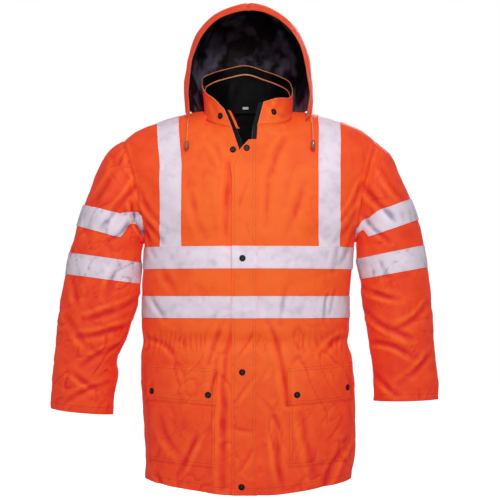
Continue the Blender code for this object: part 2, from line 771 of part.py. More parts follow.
# Reflective bands round the body, on each front, the back and the storm flap
for number in (1, 2):
    first = YOKE_STEPS + LEVEL[f"band_{number}_top"]
    for name in ("front_right", "front_left", "back"):
        columns = (0, len(sheets[name]["points"][0]) - 1)
        band = part_of(sheets[name], (first, first + 1), columns)
        wall(f"band_{number}_{name}", band, LAP, LAP + TAPE, "reflective")
    first += len(FLAP_TOP) - YOKE_STEPS
    band = part_of(flap, (first, first + 1), (0, FLAP_COLUMNS))
    wall(f"band_{number}_flap", band, on_flap, on_flap + TAPE, "reflective")

# Reflective braces from the upper band over the shoulder to the upper band behind
for side, sign in SIDES.items():
    last = YOKE_STEPS + LEVEL["band_1_top"]
    front = part_of(sheets["front_" + side], (0, last), BRACE_COLUMNS)
    if side == "left":
        columns = (middle + BRACE_COLUMNS[0], middle + BRACE_COLUMNS[1])
    else:
        columns = (middle - BRACE_COLUMNS[1], middle - BRACE_COLUMNS[0])
    back = part_of(sheets["back"], (0, last), columns)
    brace = {"ring": False}
    for key in ("points", "normals"):
        turned_front = front[key]
        if side == "right":
            turned_front = [list(reversed(line)) for line in front[key]]
        brace[key] = list(reversed(turned_front)) + back[key][1:]
    wall("brace_" + side, brace, LAP, LAP + TAPE, "reflective")

# Reflective bands on the sleeves: the upper one ends at the armhole, the lower goes round
for side, sign in SIDES.items():
    sleeve = sheets["sleeve_" + side]
    upper = part_of(sleeve, (RING["tape_1_top"], RING["tape_1_bottom"]), (-6, 6))
    wall("sleeve_band_1_" + side, upper, LAP, LAP + TAPE, "reflective")
    lower = whole_rows(sleeve, RING["tape_2_top"], RING["tape_2_bottom"])
    wall("sleeve_band_2_" + side, lower, LAP, LAP + TAPE, "reflective")

# Patch pockets with flaps
for side in SIDES:
    front = sheets["front_" + side]
    top = YOKE_STEPS + LEVEL["pocket_top"]
    bag = part_of(front, (top, YOKE_STEPS + LEVEL["bag_bottom"]), POCKET_COLUMNS)
    wall("pocket_" + side, bag, LAP, LAP + SHELL, "shell", margin=0.0015)
    cover = part_of(front, (top, YOKE_STEPS + LEVEL["flap_bottom"]), POCKET_COLUMNS)
    lift = LAP + SHELL + LAP
    wall("pocket_flap_" + side, cover, lift, lift + SHELL, "shell", margin=-0.0015)

# Blank label at the nape, on the collar's lining
half_width, half_height = LABEL_SIZE[0] / 2, LABEL_SIZE[1] / 2
corners = [[LABEL_PLACE + Vector((x, 0, z)) for x in (-half_width, half_width)]
           for z in (half_height, -half_height)]
wall("label", make_sheet(corners, -1), 0.0, TAPE, "label")

for place in STUDS:
    stud("stud_" + place.name, place.x, place.z)
for side in SIDES:
    drawcord(side)
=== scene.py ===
"""Looks of the high-visibility hooded parka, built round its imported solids.

Metres, +Z up, front towards -Y, origin in the middle of the neck. right and left are the
wearer's: right is -X. Each cloth piece is worked out from the same section tables as its
solid, refined to a few millimetres, creased, and given its material.
"""
import math
from collections import namedtuple

import bpy
import numpy as np
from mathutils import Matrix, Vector, noise
from mathutils.bvhtree import BVHTree


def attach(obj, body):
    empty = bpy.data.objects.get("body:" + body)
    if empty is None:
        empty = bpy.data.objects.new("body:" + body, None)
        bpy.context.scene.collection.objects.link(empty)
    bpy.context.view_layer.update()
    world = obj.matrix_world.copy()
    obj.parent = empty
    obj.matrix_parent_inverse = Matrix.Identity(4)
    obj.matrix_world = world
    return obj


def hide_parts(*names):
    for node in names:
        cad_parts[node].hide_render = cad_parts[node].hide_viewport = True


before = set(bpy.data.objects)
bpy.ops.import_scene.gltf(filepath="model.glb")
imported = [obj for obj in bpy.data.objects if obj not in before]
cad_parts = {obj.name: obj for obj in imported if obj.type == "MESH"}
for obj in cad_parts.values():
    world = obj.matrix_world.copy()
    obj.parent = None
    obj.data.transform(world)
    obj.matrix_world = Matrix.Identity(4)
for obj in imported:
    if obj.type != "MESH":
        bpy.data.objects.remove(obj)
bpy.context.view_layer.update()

# Size of a mesh cell, and the clear spaces and thicknesses of the cloth
STEP = 0.0052
SHELL = 0.0015
LINING = 0.0010
TAPE = 0.0009
LAP = 0.0005

# Shape of the body's cross-section: 2 is an ellipse, more is squarer
ROUNDNESS = 2.3
YOKE_STEPS = 4          # grid rows from the shoulder seam down to the first level section
SIDES = {"right": -1, "left": 1}

# Reflective braces, pockets and front opening: distances from the centre line
BRACE_IN = 0.157
BRACE_OUT = 0.2075
POCKET_IN = {"right": 0.076, "left": 0.086}
FRONT_EDGE = {"right": -0.014, "left": 0.010}
# Shares of the way from the side seam to the brace, in depth; the second is the pocket's edge
SIDE_SHARES = (1.0, 0.66, 0.33, 0.0)
COLUMNS = 4 + len(SIDE_SHARES)
POCKET_COLUMNS = (2, 6)
BRACE_COLUMNS = (4, 5)

Section = namedtuple("Section", "name z_front z_side z_back right left front back")
# Level of each section at the centre front, side seam and centre back, half widths to the
# wearer's right and left, and depths in front of and behind the side seam
BODY = [
    Section("chest", -0.120, -0.120, -0.120, 0.330, 0.330, 0.120, 0.118),
    Section("upper_armhole", -0.160, -0.160, -0.160, 0.312, 0.312, 0.129, 0.124),
    Section("mid_armhole", -0.200, -0.200, -0.200, 0.292, 0.292, 0.136, 0.128),
    Section("low_armhole", -0.250, -0.250, -0.250, 0.268, 0.268, 0.141, 0.131),
    Section("armpit", -0.298, -0.298, -0.298, 0.250, 0.247, 0.143, 0.133),
    Section("band_1_top", -0.310, -0.310, -0.310, 0.2505, 0.245, 0.1432, 0.1334),
    Section("band_1_bottom", -0.361, -0.361, -0.361, 0.252, 0.241, 0.144, 0.134),
    Section("band_2_top", -0.424, -0.424, -0.424, 0.256, 0.236, 0.143, 0.134),
    Section("band_2_bottom", -0.474, -0.474, -0.474, 0.256, 0.234, 0.142, 0.134),
    Section("above_waist", -0.503, -0.503, -0.503, 0.257, 0.234, 0.142, 0.135),
    Section("waist", -0.530, -0.530, -0.530, 0.254, 0.230, 0.136, 0.130),
    Section("below_waist", -0.557, -0.555, -0.557, 0.258, 0.237, 0.143, 0.137),
    Section("pocket_top", -0.590, -0.579, -0.588, 0.258, 0.243, 0.145, 0.138),
    Section("flap_middle", -0.631, -0.620, -0.628, 0.257, 0.2475, 0.146, 0.139),
    Section("flap_bottom", -0.671, -0.660, -0.668, 0.256, 0.249, 0.148, 0.140),
    Section("bag_middle", -0.745, -0.733, -0.740, 0.252, 0.250, 0.150, 0.142),
    Section("bag_bottom", -0.816, -0.803, -0.810, 0.250, 0.248, 0.151, 0.143),
    Section("hem", -0.875, -0.852, -0.865, 0.249, 0.241, 0.150, 0.143),
]
LEVEL = {section.name: index for index, section in enumerate(BODY)}
# Distance of the armhole seam from the centre line, a row for each section down to the armpit
Armhole = namedtuple("Armhole", "front back")
ARMHOLE = [
    Armhole(0.277, 0.272),
    Armhole(0.2675, 0.262),
    Armhole(0.260, 0.255),
    Armhole(0.2525, 0.250),
]

Fold = namedtuple("Fold", "side face x_top z_top x_low z_low half_width depth")
# The largest folds of the body: soft troughs between two places, given by their distance
# from the centre line and their height
FOLDS = [
    Fold("right", "front", 0.052, -0.130, 0.047, -0.300, 0.032, 0.0045),
    Fold("right", "front", 0.238, -0.165, 0.178, -0.285, 0.034, 0.0060),
    Fold("left", "front", 0.225, -0.180, 0.160, -0.290, 0.032, 0.0045),
    Fold("right", "front", 0.160, -0.700, 0.125, -0.880, 0.038, 0.0050),
    Fold("left", "front", 0.185, -0.640, 0.160, -0.890, 0.036, 0.0060),
    Fold("right", "back", 0.085, -0.150, 0.130, -0.290, 0.038, 0.0040),
    Fold("left", "back", 0.100, -0.140, 0.125, -0.280, 0.036, 0.0045),
    Fold("right", "back", 0.110, -0.560, 0.125, -0.880, 0.042, 0.0060),
    Fold("left", "back", 0.155, -0.590, 0.140, -0.880, 0.040, 0.0065),
]

TopPoint = namedtuple("TopPoint", "x y z")
# Neckline and shoulder seam, a point for each grid column from the centre outwards
FRONT_TOP = {
    "right": [
        TopPoint(0.041, -0.115, -0.040),
        TopPoint(0.075, -0.091, -0.029),
        TopPoint(0.103, -0.051, -0.012),
        TopPoint(0.104, 0.000, 0.014),
        TopPoint(0.168, 0.000, 0.003),
        TopPoint(0.219, 0.000, -0.013),
        TopPoint(0.247, 0.000, -0.022),
        TopPoint(0.274, 0.000, -0.035),
        TopPoint(0.2975, 0.000, -0.055),
    ],
    "left": [
        TopPoint(0.018, -0.115, -0.033),
        TopPoint(0.062, -0.097, -0.029),
        TopPoint(0.0935, -0.054, -0.012),
        TopPoint(0.100, 0.000, 0.014),
        TopPoint(0.160, 0.000, 0.006),
        TopPoint(0.211, 0.000, -0.010),
        TopPoint(0.241, 0.000, -0.020),
        TopPoint(0.270, 0.000, -0.033),
        TopPoint(0.2965, 0.000, -0.054),
    ],
}
# The back neckline's first three points; from the shoulder on it shares the front's seam
BACK_NECK = [
    TopPoint(0.000, 0.100, 0.030),
    TopPoint(0.040, 0.092, 0.028),
    TopPoint(0.078, 0.062, 0.024),
]

Ring = namedtuple("Ring", "name x_out z_out x_in z_in depth")
# Sleeve rings: outermost and innermost point, and half depth from front to back
SLEEVE = {
    "right": [
        Ring("cap_1", 0.334, -0.078, 0.252, -0.232, 0.088),
        Ring("cap_2", 0.367, -0.140, 0.256, -0.240, 0.092),
        Ring("tape_1_top", 0.3935, -0.2094, 0.262, -0.243, 0.088),
        Ring("tape_1_bottom", 0.4095, -0.258, 0.2565, -0.300, 0.083),
        Ring("tape_2_top", 0.4275, -0.3213, 0.2575, -0.345, 0.079),
        Ring("tape_2_bottom", 0.4385, -0.371, 0.2605, -0.3945, 0.076),
        Ring("above_elbow", 0.4495, -0.428, 0.2665, -0.443, 0.072),
        Ring("elbow_1", 0.4565, -0.484, 0.282, -0.490, 0.068),
        Ring("elbow_2", 0.4625, -0.536, 0.302, -0.540, 0.063),
        Ring("elbow_3", 0.4665, -0.582, 0.3165, -0.577, 0.058),
        Ring("forearm_1", 0.4705, -0.620, 0.3145, -0.606, 0.057),
        Ring("forearm_2", 0.4745, -0.659, 0.3230, -0.660, 0.054),
        Ring("cuff", 0.4740, -0.690, 0.3260, -0.7045, 0.052),
    ],
    "left": [
        Ring("cap_1", 0.331, -0.085, 0.250, -0.219, 0.088),
        Ring("cap_2", 0.358, -0.143, 0.255, -0.226, 0.092),
        Ring("tape_1_top", 0.3815, -0.1945, 0.262, -0.239, 0.088),
        Ring("tape_1_bottom", 0.3990, -0.243, 0.2535, -0.294, 0.083),
        Ring("tape_2_top", 0.4125, -0.3037, 0.2540, -0.336, 0.079),
        Ring("tape_2_bottom", 0.4215, -0.3546, 0.2625, -0.3835, 0.076),
        Ring("above_elbow", 0.4290, -0.420, 0.2650, -0.424, 0.072),
        Ring("elbow_1", 0.4335, -0.480, 0.2740, -0.482, 0.068),
        Ring("elbow_2", 0.4370, -0.535, 0.2850, -0.532, 0.064),
        Ring("elbow_3", 0.4410, -0.580, 0.2900, -0.580, 0.060),
        Ring("forearm_1", 0.4450, -0.615, 0.2925, -0.612, 0.057),
        Ring("forearm_2", 0.4480, -0.645, 0.2945, -0.645, 0.054),
        Ring("cuff", 0.4490, -0.668, 0.2950, -0.672, 0.052),
    ],
}
RING = {ring.name: index + 1 for index, ring in enumerate(SLEEVE["right"])}
AROUND = 16             # grid columns round a sleeve

CollarPoint = namedtuple("CollarPoint", "x y z x_top y_top z_top")
# Collar from the right front edge round the back to the left front edge
COLLAR = [
    CollarPoint(-0.041, -0.115, -0.040, -0.060, -0.100, 0.0065),
    CollarPoint(-0.075, -0.091, -0.029, -0.080, -0.086, 0.029),
    CollarPoint(-0.103, -0.051, -0.012, -0.105, -0.058, 0.052),
    CollarPoint(-0.104, 0.000, 0.014, -0.1145, -0.016, 0.083),
    CollarPoint(-0.098, 0.032, 0.020, -0.113, 0.022, 0.099),
    CollarPoint(-0.078, 0.062, 0.024, -0.095, 0.056, 0.115),
    CollarPoint(-0.040, 0.092, 0.028, -0.058, 0.084, 0.131),
    CollarPoint(0.000, 0.100, 0.030, -0.010, 0.094, 0.141),
    CollarPoint(0.040, 0.092, 0.028, 0.036, 0.088, 0.127),
    CollarPoint(0.078, 0.062, 0.024, 0.074, 0.064, 0.109),
    CollarPoint(0.095, 0.032, 0.020, 0.094, 0.030, 0.092),
    CollarPoint(0.100, 0.000, 0.014, 0.1015, -0.010, 0.068),
    CollarPoint(0.0935, -0.054, -0.012, 0.094, -0.056, 0.040),
    CollarPoint(0.062, -0.097, -0.029, 0.062, -0.090, 0.033),
    CollarPoint(0.018, -0.115, -0.033, 0.032, -0.102, 0.0226),
]
COLLAR_ROWS = 4

Arch = namedtuple("Arch", "x_neck y_neck z_neck y_seam z_seam half_width")
# Hood arches from the face opening to the nape: foot on the neckline, top on the centre
# seam, and the greatest half width
HOOD = [
    Arch(0.136, -0.088, -0.014, -0.078, 0.240, 0.1460),
    Arch(0.150, -0.048, 0.006, -0.040, 0.261, 0.1520),
    Arch(0.141, 0.000, 0.016, 0.025, 0.2735, 0.1530),
    Arch(0.126, 0.038, 0.012, 0.092, 0.266, 0.1490),
    Arch(0.106, 0.070, 0.006, 0.148, 0.222, 0.1360),
    Arch(0.084, 0.093, 0.010, 0.170, 0.152, 0.1160),
    Arch(0.056, 0.107, 0.012, 0.156, 0.082, 0.0860),
    Arch(0.028, 0.114, 0.014, 0.128, 0.030, 0.0340),
]
HOOD_SHIFT = -0.0035    # the hood hangs a little to the wearer's right
# Heights along an arch, as shares of the way from foot to centre seam
ARCH_SHARES = (0.0, 0.17, 0.34, 0.50, 0.65, 0.79, 0.90, 0.97, 1.0)

# Front zip: tape beyond the front edge, and the guard beyond that at the collar
ZIP_TAPE = (0.0004, 0.0060, 0.0110)
ZIP_GUARD = (0.0120, 0.0155, 0.0190)

# Storm flap over the front zip: level, and its free (right) and sewn (left) edges
FlapRow = namedtuple("FlapRow", "z x_free x_sewn")
FLAP_TOP = [
    FlapRow(-0.066, -0.003, 0.016),
    FlapRow(-0.0855, -0.0205, 0.016),
    FlapRow(-0.105, -0.0325, 0.016),
]
FLAP_FREE = -0.041
FLAP_SEWN = 0.016
FLAP_COLUMNS = 4
FLAP_LIFT = LAP + TAPE + 2 * LAP

# Thin binding round the inside of the collar, and the blank label at the nape
BINDING_DROP = 0.022
BINDING_HALF = 0.0013
BINDING_COLUMNS = (3, 11)
LABEL_SIZE = (0.014, 0.006)
LABEL_PLACE = Vector((-0.011, 0.0925, 0.0365))

# Press studs
STUD_RADIUS = 0.0072
STUD_HEIGHT = 0.0030

Place = namedtuple("Place", "name x z")
STUDS = [
    Place("collar_right", -0.0680, -0.0085),
    Place("collar_left", 0.0543, 0.0005),
    Place("front_socket", -0.0388, -0.0884),
    Place("flap_top", -0.0075, -0.0853),
    Place("flap_chest", -0.0170, -0.338),
    Place("flap_waist", -0.0177, -0.596),
    Place("flap_hem", -0.0190, -0.855),
    Place("pocket_right_outer", -0.2265, -0.643),
    Place("pocket_right_inner", -0.0950, -0.6475),
    Place("pocket_left_inner", 0.1067, -0.6475),
    Place("pocket_left_outer", 0.2255, -0.635),
]

# Drawcords of the hood: each leaves the casing's front corner and hangs on the chest
CordPoint = namedtuple("CordPoint", "x y z")
CORD = [
    CordPoint(0.1425, -0.0800, -0.0125),
    CordPoint(0.1430, -0.0880, -0.0190),
    CordPoint(0.1435, -0.1010, -0.0320),
    CordPoint(0.1440, -0.1115, -0.0470),
    CordPoint(0.1445, -0.1170, -0.0600),
    CordPoint(0.1445, -0.1185, -0.0680),
]
CORD_RADIUS = 0.0014
TOGGLE_LENGTH = 0.0190


def mix(a, b, share):
    """The value a given share of the way from a to b."""
    return a + (b - a) * share


def ease(share):
    """0 to 1 with a soft start and end."""
    share = min(max(share, 0.0), 1.0)
    return share * share * (3 - 2 * share)


def along(table, index, column):
    """A column of a table at a fractional row, on a smooth curve through its rows."""
    last = len(table) - 1
    index = min(max(index, 0.0), float(last))
    row = min(int(index), last - 1)
    t = index - row
    b = getattr(table[row], column)
    c = getattr(table[row + 1], column)
    a = getattr(table[row - 1], column) if row > 0 else 2 * b - c
    d = getattr(table[row + 2], column) if row + 2 <= last else 2 * c - b
    return 0.5 * (2 * b + (c - a) * t + (2 * a - 5 * b + 4 * c - d) * t * t
                  + (3 * b - a - 3 * c + d) * t ** 3)


# ---------------------------------------------------------------- body

def depth_at(x, half_width, depth):
    """How far the body's section stands from the side seam's plane at a distance x."""
    share = min(abs(x) / half_width, 1.0)
    return depth * (1 - share ** ROUNDNESS) ** (1 / ROUNDNESS)


def width_at(y, half_width, depth):
    """The other way round: the distance from the centre line at a depth y."""
    share = min(y / depth, 1.0)
    return half_width * (1 - share ** ROUNDNESS) ** (1 / ROUNDNESS)


def top_point(side, face, column):
    """Neckline or shoulder seam at a grid column."""
    if face == "back" and column < len(BACK_NECK):
        return BACK_NECK[column]
    return FRONT_TOP[side][column]


def fold_depth(side, face, x, z):
    """How far the folds draw the cloth in at a place on the body."""
    drawn = 0.0
    for fold in FOLDS:
        if (fold.side, fold.face) != (side, face):
            continue
        run = (fold.x_low - fold.x_top, fold.z_low - fold.z_top)
        length = run[0] ** 2 + run[1] ** 2
        share = ((x - fold.x_top) * run[0] + (z - fold.z_top) * run[1]) / length
        share = min(max(share, 0.0), 1.0)
        away = math.hypot(x - fold.x_top - share * run[0], z - fold.z_top - share * run[1])
        drawn += fold.depth * ease(1 - away / fold.half_width)
    return drawn


def level_point(side, face, column, row):
    """Point of a level section, as distance from the centre line, depth and height."""
    half_width = along(BODY, row, side)
    depth = along(BODY, row, face)
    inner = FRONT_EDGE[side] * SIDES[side] if face == "front" else 0.0
    pocket = POCKET_IN[side]
    inner_columns = (inner, (inner + pocket) / 2, pocket, (pocket + BRACE_IN) / 2, BRACE_IN)
    if column < len(inner_columns):
        x = inner_columns[column]
        y = depth_at(x, half_width, depth)
    else:
        edge_x = half_width
        if row < len(ARMHOLE):
            edge_x = getattr(ARMHOLE[row], face)
        edge_y = depth_at(edge_x, half_width, depth)
        brace_y = depth_at(BRACE_OUT, half_width, depth)
        y = mix(edge_y, brace_y, SIDE_SHARES[column - len(inner_columns)])
        x = width_at(y, half_width, depth)
    middle = along(BODY, row, "z_front" if face == "front" else "z_back")
    share = min(max((x - 0.06) / (half_width - 0.06), 0.0), 1.0)
    z = mix(middle, along(BODY, row, "z_side"), share)
    return x, y - fold_depth(side, face, x, z), z


def body_point(side, face, column, line):
    """Point of the body's grid; the first lines round over the shoulder."""
    forward = -1 if face == "front" else 1
    if line >= YOKE_STEPS:
        x, y, z = level_point(side, face, column, line - YOKE_STEPS)
        return Vector((SIDES[side] * x, forward * y, z))
    top = top_point(side, face, column)
    x, y, z = level_point(side, face, column, 0)
    turn = math.radians(90) * line / YOKE_STEPS
    return Vector((
        SIDES[side] * mix(x, top.x, math.cos(turn)),
        mix(top.y, forward * y, math.sin(turn)),
        mix(z, top.z, math.cos(turn)),
    ))


def body_grid(side, face):
    """All lines of one half of the body, from the centre to the side."""
    lines = range(YOKE_STEPS + len(BODY))
    return [[body_point(side, face, c, line) for c in range(COLUMNS + 1)] for line in lines]


# ---------------------------------------------------------------- sleeves

def armhole_loop(side):
    """Points of the armhole from the shoulder down the front and up the back."""
    low = YOKE_STEPS + len(ARMHOLE)
    front = [body_point(side, "front", COLUMNS, line) for line in range(low + 1)]
    back = [body_point(side, "back", COLUMNS, line) for line in range(low - 1, 0, -1)]
    return front + back


def ring_point(side, ring, turn):
    """Point of a sleeve ring; turn 0 is outermost, 90 degrees is the front."""
    outer = Vector((ring.x_out, 0, ring.z_out))
    inner = Vector((ring.x_in, 0, ring.z_in))
    point = (outer + inner) / 2 + (outer - inner) / 2 * math.cos(turn)
    point.y = -ring.depth * math.sin(turn)
    return Vector((SIDES[side] * point.x, point.y, point.z))


def sleeve_grid(side):
    """Rings of a sleeve; the cap's underside runs straight from the armhole."""
    loop = armhole_loop(side)
    rings = SLEEVE[side]
    first_free = RING["tape_1_bottom"]
    turns = [math.radians(360) * index / AROUND for index in range(AROUND)]
    grid = [loop]
    for number, ring in enumerate(rings, start=1):
        line = []
        for index, turn in enumerate(turns):
            point = ring_point(side, ring, turn)
            if number < first_free:
                free = ring_point(side, rings[first_free - 1], turn)
                straight = loop[index].lerp(free, number / first_free)
                under = ease((abs(math.pi - turn) - math.radians(20)) / math.radians(45))
                point = straight.lerp(point, under)
            line.append(point)
        grid.append(line)
    return grid


# ---------------------------------------------------------------- collar and hood

def collar_grid():
    """Collar from its top edge down to the neckline seam."""
    grid = []
    for row in range(COLLAR_ROWS + 1):
        share = row / COLLAR_ROWS
        line = []
        for column, foot in enumerate(COLLAR):
            top = Vector((foot.x_top, foot.y_top, foot.z_top))
            base = Vector((foot.x, foot.y, foot.z))
            line.append(top.lerp(base, share))
        grid.append(line)
    return grid


def hood_grid(side):
    """Half hood: a line for each arch, from its foot up to the centre seam."""
    grid = []
    for arch in HOOD:
        line = []
        for share in ARCH_SHARES:
            foot_pull = (arch.half_width - arch.x_neck) * (1 - share) ** 3
            x = math.sqrt(1 - share ** 3) * (arch.half_width - foot_pull)
            line.append(Vector((
                SIDES[side] * x + HOOD_SHIFT,
                mix(arch.y_neck, arch.y_seam, share),
                mix(arch.z_neck, arch.z_seam, share),
            )))
        grid.append(line)
    return grid


def collar_binding():
    """A narrow strip round the collar, a little below its top edge."""
    line_up = []
    for foot in COLLAR[BINDING_COLUMNS[0]:BINDING_COLUMNS[1] + 1]:
        top = Vector((foot.x_top, foot.y_top, foot.z_top))
        down = (Vector((foot.x, foot.y, foot.z)) - top).normalized()
        line_up.append((top + down * (BINDING_DROP - BINDING_HALF),
                        top + down * (BINDING_DROP + BINDING_HALF)))
    return [list(line) for line in zip(*line_up)]


def front_depth(x, z):
    """Depth of the front at a place near the centre line."""
    side = "right" if x < 0 else "left"
    row = 0.0
    while row < len(BODY) - 1 and along(BODY, row, "z_front") > z:
        row += 0.05
    return depth_at(x, along(BODY, row, side), along(BODY, row, "front"))


def flap_grid():
    """Storm flap from its top down to the hem."""
    rows = list(FLAP_TOP)
    rows += [FlapRow(section.z_front, FLAP_FREE, FLAP_SEWN) for section in BODY]
    grid = []
    for row in rows:
        line = []
        for column in range(FLAP_COLUMNS + 1):
            x = mix(row.x_free, row.x_sewn, column / FLAP_COLUMNS)
            line.append(Vector((x, -front_depth(x, row.z), row.z)))
        grid.append(line)
    return grid


def smooth_route(places, step):
    """Points a step apart on a smooth curve through the given places."""
    last = len(places) - 1
    count = max(2, round(sum(math.dist(a, b) for a, b in zip(places, places[1:])) / step))
    indices = [last * number / count for number in range(count + 1)]
    return [Vector([along(places, index, axis) for axis in "xyz"]) for index in indices]


# ---------------------------------------------------------------- fine grids

def spline_weights(lengths, pieces, ring):
    """Weights that turn control values into finer ones on a smooth curve through them."""
    spans = len(lengths)
    count = spans if ring else spans + 1
    tangents = np.zeros((count, count))
    for i in range(count):
        before = lengths[i - 1] if ring or i > 0 else None
        after = lengths[i % spans] if ring or i < spans else None
        last, following = (i - 1) % count, (i + 1) % count
        if before is None:
            tangents[i, following] += 1 / after
            tangents[i, i] -= 1 / after
        elif after is None:
            tangents[i, i] += 1 / before
            tangents[i, last] -= 1 / before
        else:
            total = before + after
            tangents[i, following] += before / after / total
            tangents[i, i] += (after / before - before / after) / total
            tangents[i, last] -= after / before / total
    rows = []
    for i in range(spans):
        for step in range(pieces[i]):
            t = step / pieces[i]
            row = np.zeros(count)
            row[i] += 2 * t ** 3 - 3 * t ** 2 + 1
            row[(i + 1) % count] += 3 * t ** 2 - 2 * t ** 3
            row += lengths[i] * (t ** 3 - 2 * t ** 2 + t) * tangents[i]
            row += lengths[i] * (t ** 3 - t ** 2) * tangents[(i + 1) % count]
            rows.append(row)
    if not ring:
        rows.append(np.eye(count)[-1])
    return np.array(rows)


def refine(points, ring=False, cut=(0, 0, 0, 0), step=STEP):
    """A fine grid through a coarse one; cut drops ghost spans at top, bottom, start and end."""
    points = np.array(points, dtype=float)
    row_lengths = np.linalg.norm(np.diff(points, axis=0), axis=2).mean(axis=1)
    across = np.diff(points, axis=1)
    if ring:
        across = np.concatenate([across, points[:, :1] - points[:, -1:]], axis=1)
    column_lengths = np.linalg.norm(across, axis=2).mean(axis=0)
    row_pieces = [max(1, math.ceil(length / step)) for length in row_lengths]
    column_pieces = [max(1, math.ceil(length / step)) for length in column_lengths]
    rows = spline_weights(row_lengths, row_pieces, False)
    columns = spline_weights(column_lengths, column_pieces, ring)
    fine = np.einsum("ij,jkl,mk->iml", rows, points, columns)
    row_at = np.concatenate([[0], np.cumsum(row_pieces)])
    column_at = np.concatenate([[0], np.cumsum(column_pieces)])
    top, bottom, start, end = cut
    row_at = row_at[top:len(row_at) - bottom]
    if not ring:
        column_at = column_at[start:len(column_at) - end]
        fine = fine[row_at[0]:row_at[-1] + 1, column_at[0]:column_at[-1] + 1]
    else:
        fine = fine[row_at[0]:row_at[-1] + 1]
    return {"points": fine, "rows": list(row_at - row_at[0]),
            "columns": list(column_at - column_at[0]), "ring": ring}


# What a sheet holds for each of its grid points; shade is 1 in a trough, -1 on a ridge
GRIDS = ("points", "normals", "shade")


def unit(vectors):
    """Vectors at unit length."""
    return vectors / np.maximum(np.linalg.norm(vectors, axis=-1, keepdims=True), 1e-12)


def normals_of(points, ring, outward):
    """A normal for every grid point, from its neighbours."""
    if ring:
        across = np.roll(points, -1, axis=1) - np.roll(points, 1, axis=1)
    else:
        across = np.gradient(points, axis=1)
    down = np.gradient(points, axis=0)
    return unit(np.cross(across, down) * outward)


def finished(sheet, outward):
    """Gives a grid its normals."""
    sheet["outward"] = outward
    sheet["normals"] = normals_of(sheet["points"], sheet["ring"], outward)
    return sheet


def moved(sheet, distance):
    """The grid moved out along its normals, by one distance or one for each point."""
    distance = np.asarray(distance)
    if distance.ndim:
        distance = distance[..., None]
    copy = dict(sheet)
    copy["points"] = sheet["points"] + sheet["normals"] * distance
    return finished(copy, sheet["outward"])


def piece_of(sheet, rows, columns, margin=0.0):
    """The stretch between two coarse rows and two coarse columns, or all round a ring."""
    first, last = (sheet["rows"][row] for row in rows)
    if columns is None:
        part = {key: sheet[key][first:last + 1] for key in GRIDS if key in sheet}
        return part | {"ring": True, "outward": sheet["outward"]}
    start, end = columns
    picked = np.arange(sheet["columns"][start], sheet["columns"][end] + 1)
    part = {key: sheet[key][first:last + 1][:, picked].copy() for key in GRIDS if key in sheet}
    part |= {"ring": False, "outward": sheet["outward"]}
    return drawn_in(part, margin)


def drawn_in(sheet, margin):
    """The grid with its border drawn in by a margin, or let out if it is negative."""
    if margin:
        points = sheet["points"]
        start = points.copy()
        points[0] += unit(start[1] - start[0]) * margin
        points[-1] += unit(start[-2] - start[-1]) * margin
        if not sheet["ring"]:
            points[:, 0] += unit(start[:, 1] - start[:, 0]) * margin
            points[:, -1] += unit(start[:, -2] - start[:, -1]) * margin
    return sheet


# ---------------------------------------------------------------- creases

Crease = namedtuple("Crease", "face x_top z_top x_low z_low half_width depth bow")

# Strength of the drawn creases, and how far and over what length their lines wander
CREASE_GAIN = 1.05
WANDER = 0.0050
WANDER_SIZE = 0.055
# A crease's trough, in half widths: its reach, the roundness of its bottom, and its steepness
TROUGH_REACH = 1.06
TROUGH_ROUND = 0.012
TROUGH_STEEP = 1.6
# The ridge that stands beside a trough: its place and width in half widths, and its height
RIDGE_PLACE = 1.15
RIDGE_WIDTH = 0.38
RIDGE_SHARE = 0.5
# A crease's depth follows half a sine wave to a power, less this share of the wave at each
# end; a crease of one face fades out round the side over this range of the normal
END_SHARE = 0.08
END_STEEP = 0.7
FACE_SHIFT = 0.35
FACE_RANGE = 0.5
# Crumples: stretch along the height, spacing of the gaps that break them, and their lines'
# and ridges' widths, in the units of the noise that they are read from
CRUMPLE_STRETCH = 0.42
GAP_SCALE = 0.55
LINE_WIDTH = 0.13
CREST_PLACE = 0.20
CREST_WIDTH = 0.12
CREST_SHARE = 0.45
BEHIND_SHARE = 0.40     # crumples keep this share of their depth behind
# Painted shade of the folds, darker in their troughs: the depth of a full trough, the reach
# over which the cloth is evened out to measure it, and the share of the slow unevenness that shows
SHADE_DEPTH = 0.0021
SHADE_REACH = 0.012
NOISE_SHARE = 0.40
BODY_TAPE_SHADE = 0.55  # painted fold shade darkens the body's tapes less than the sleeves'


def soft(values):
    """0 to 1 with a soft start and end, for arrays."""
    values = np.clip(values, 0, 1)
    return values * values * (3 - 2 * values)


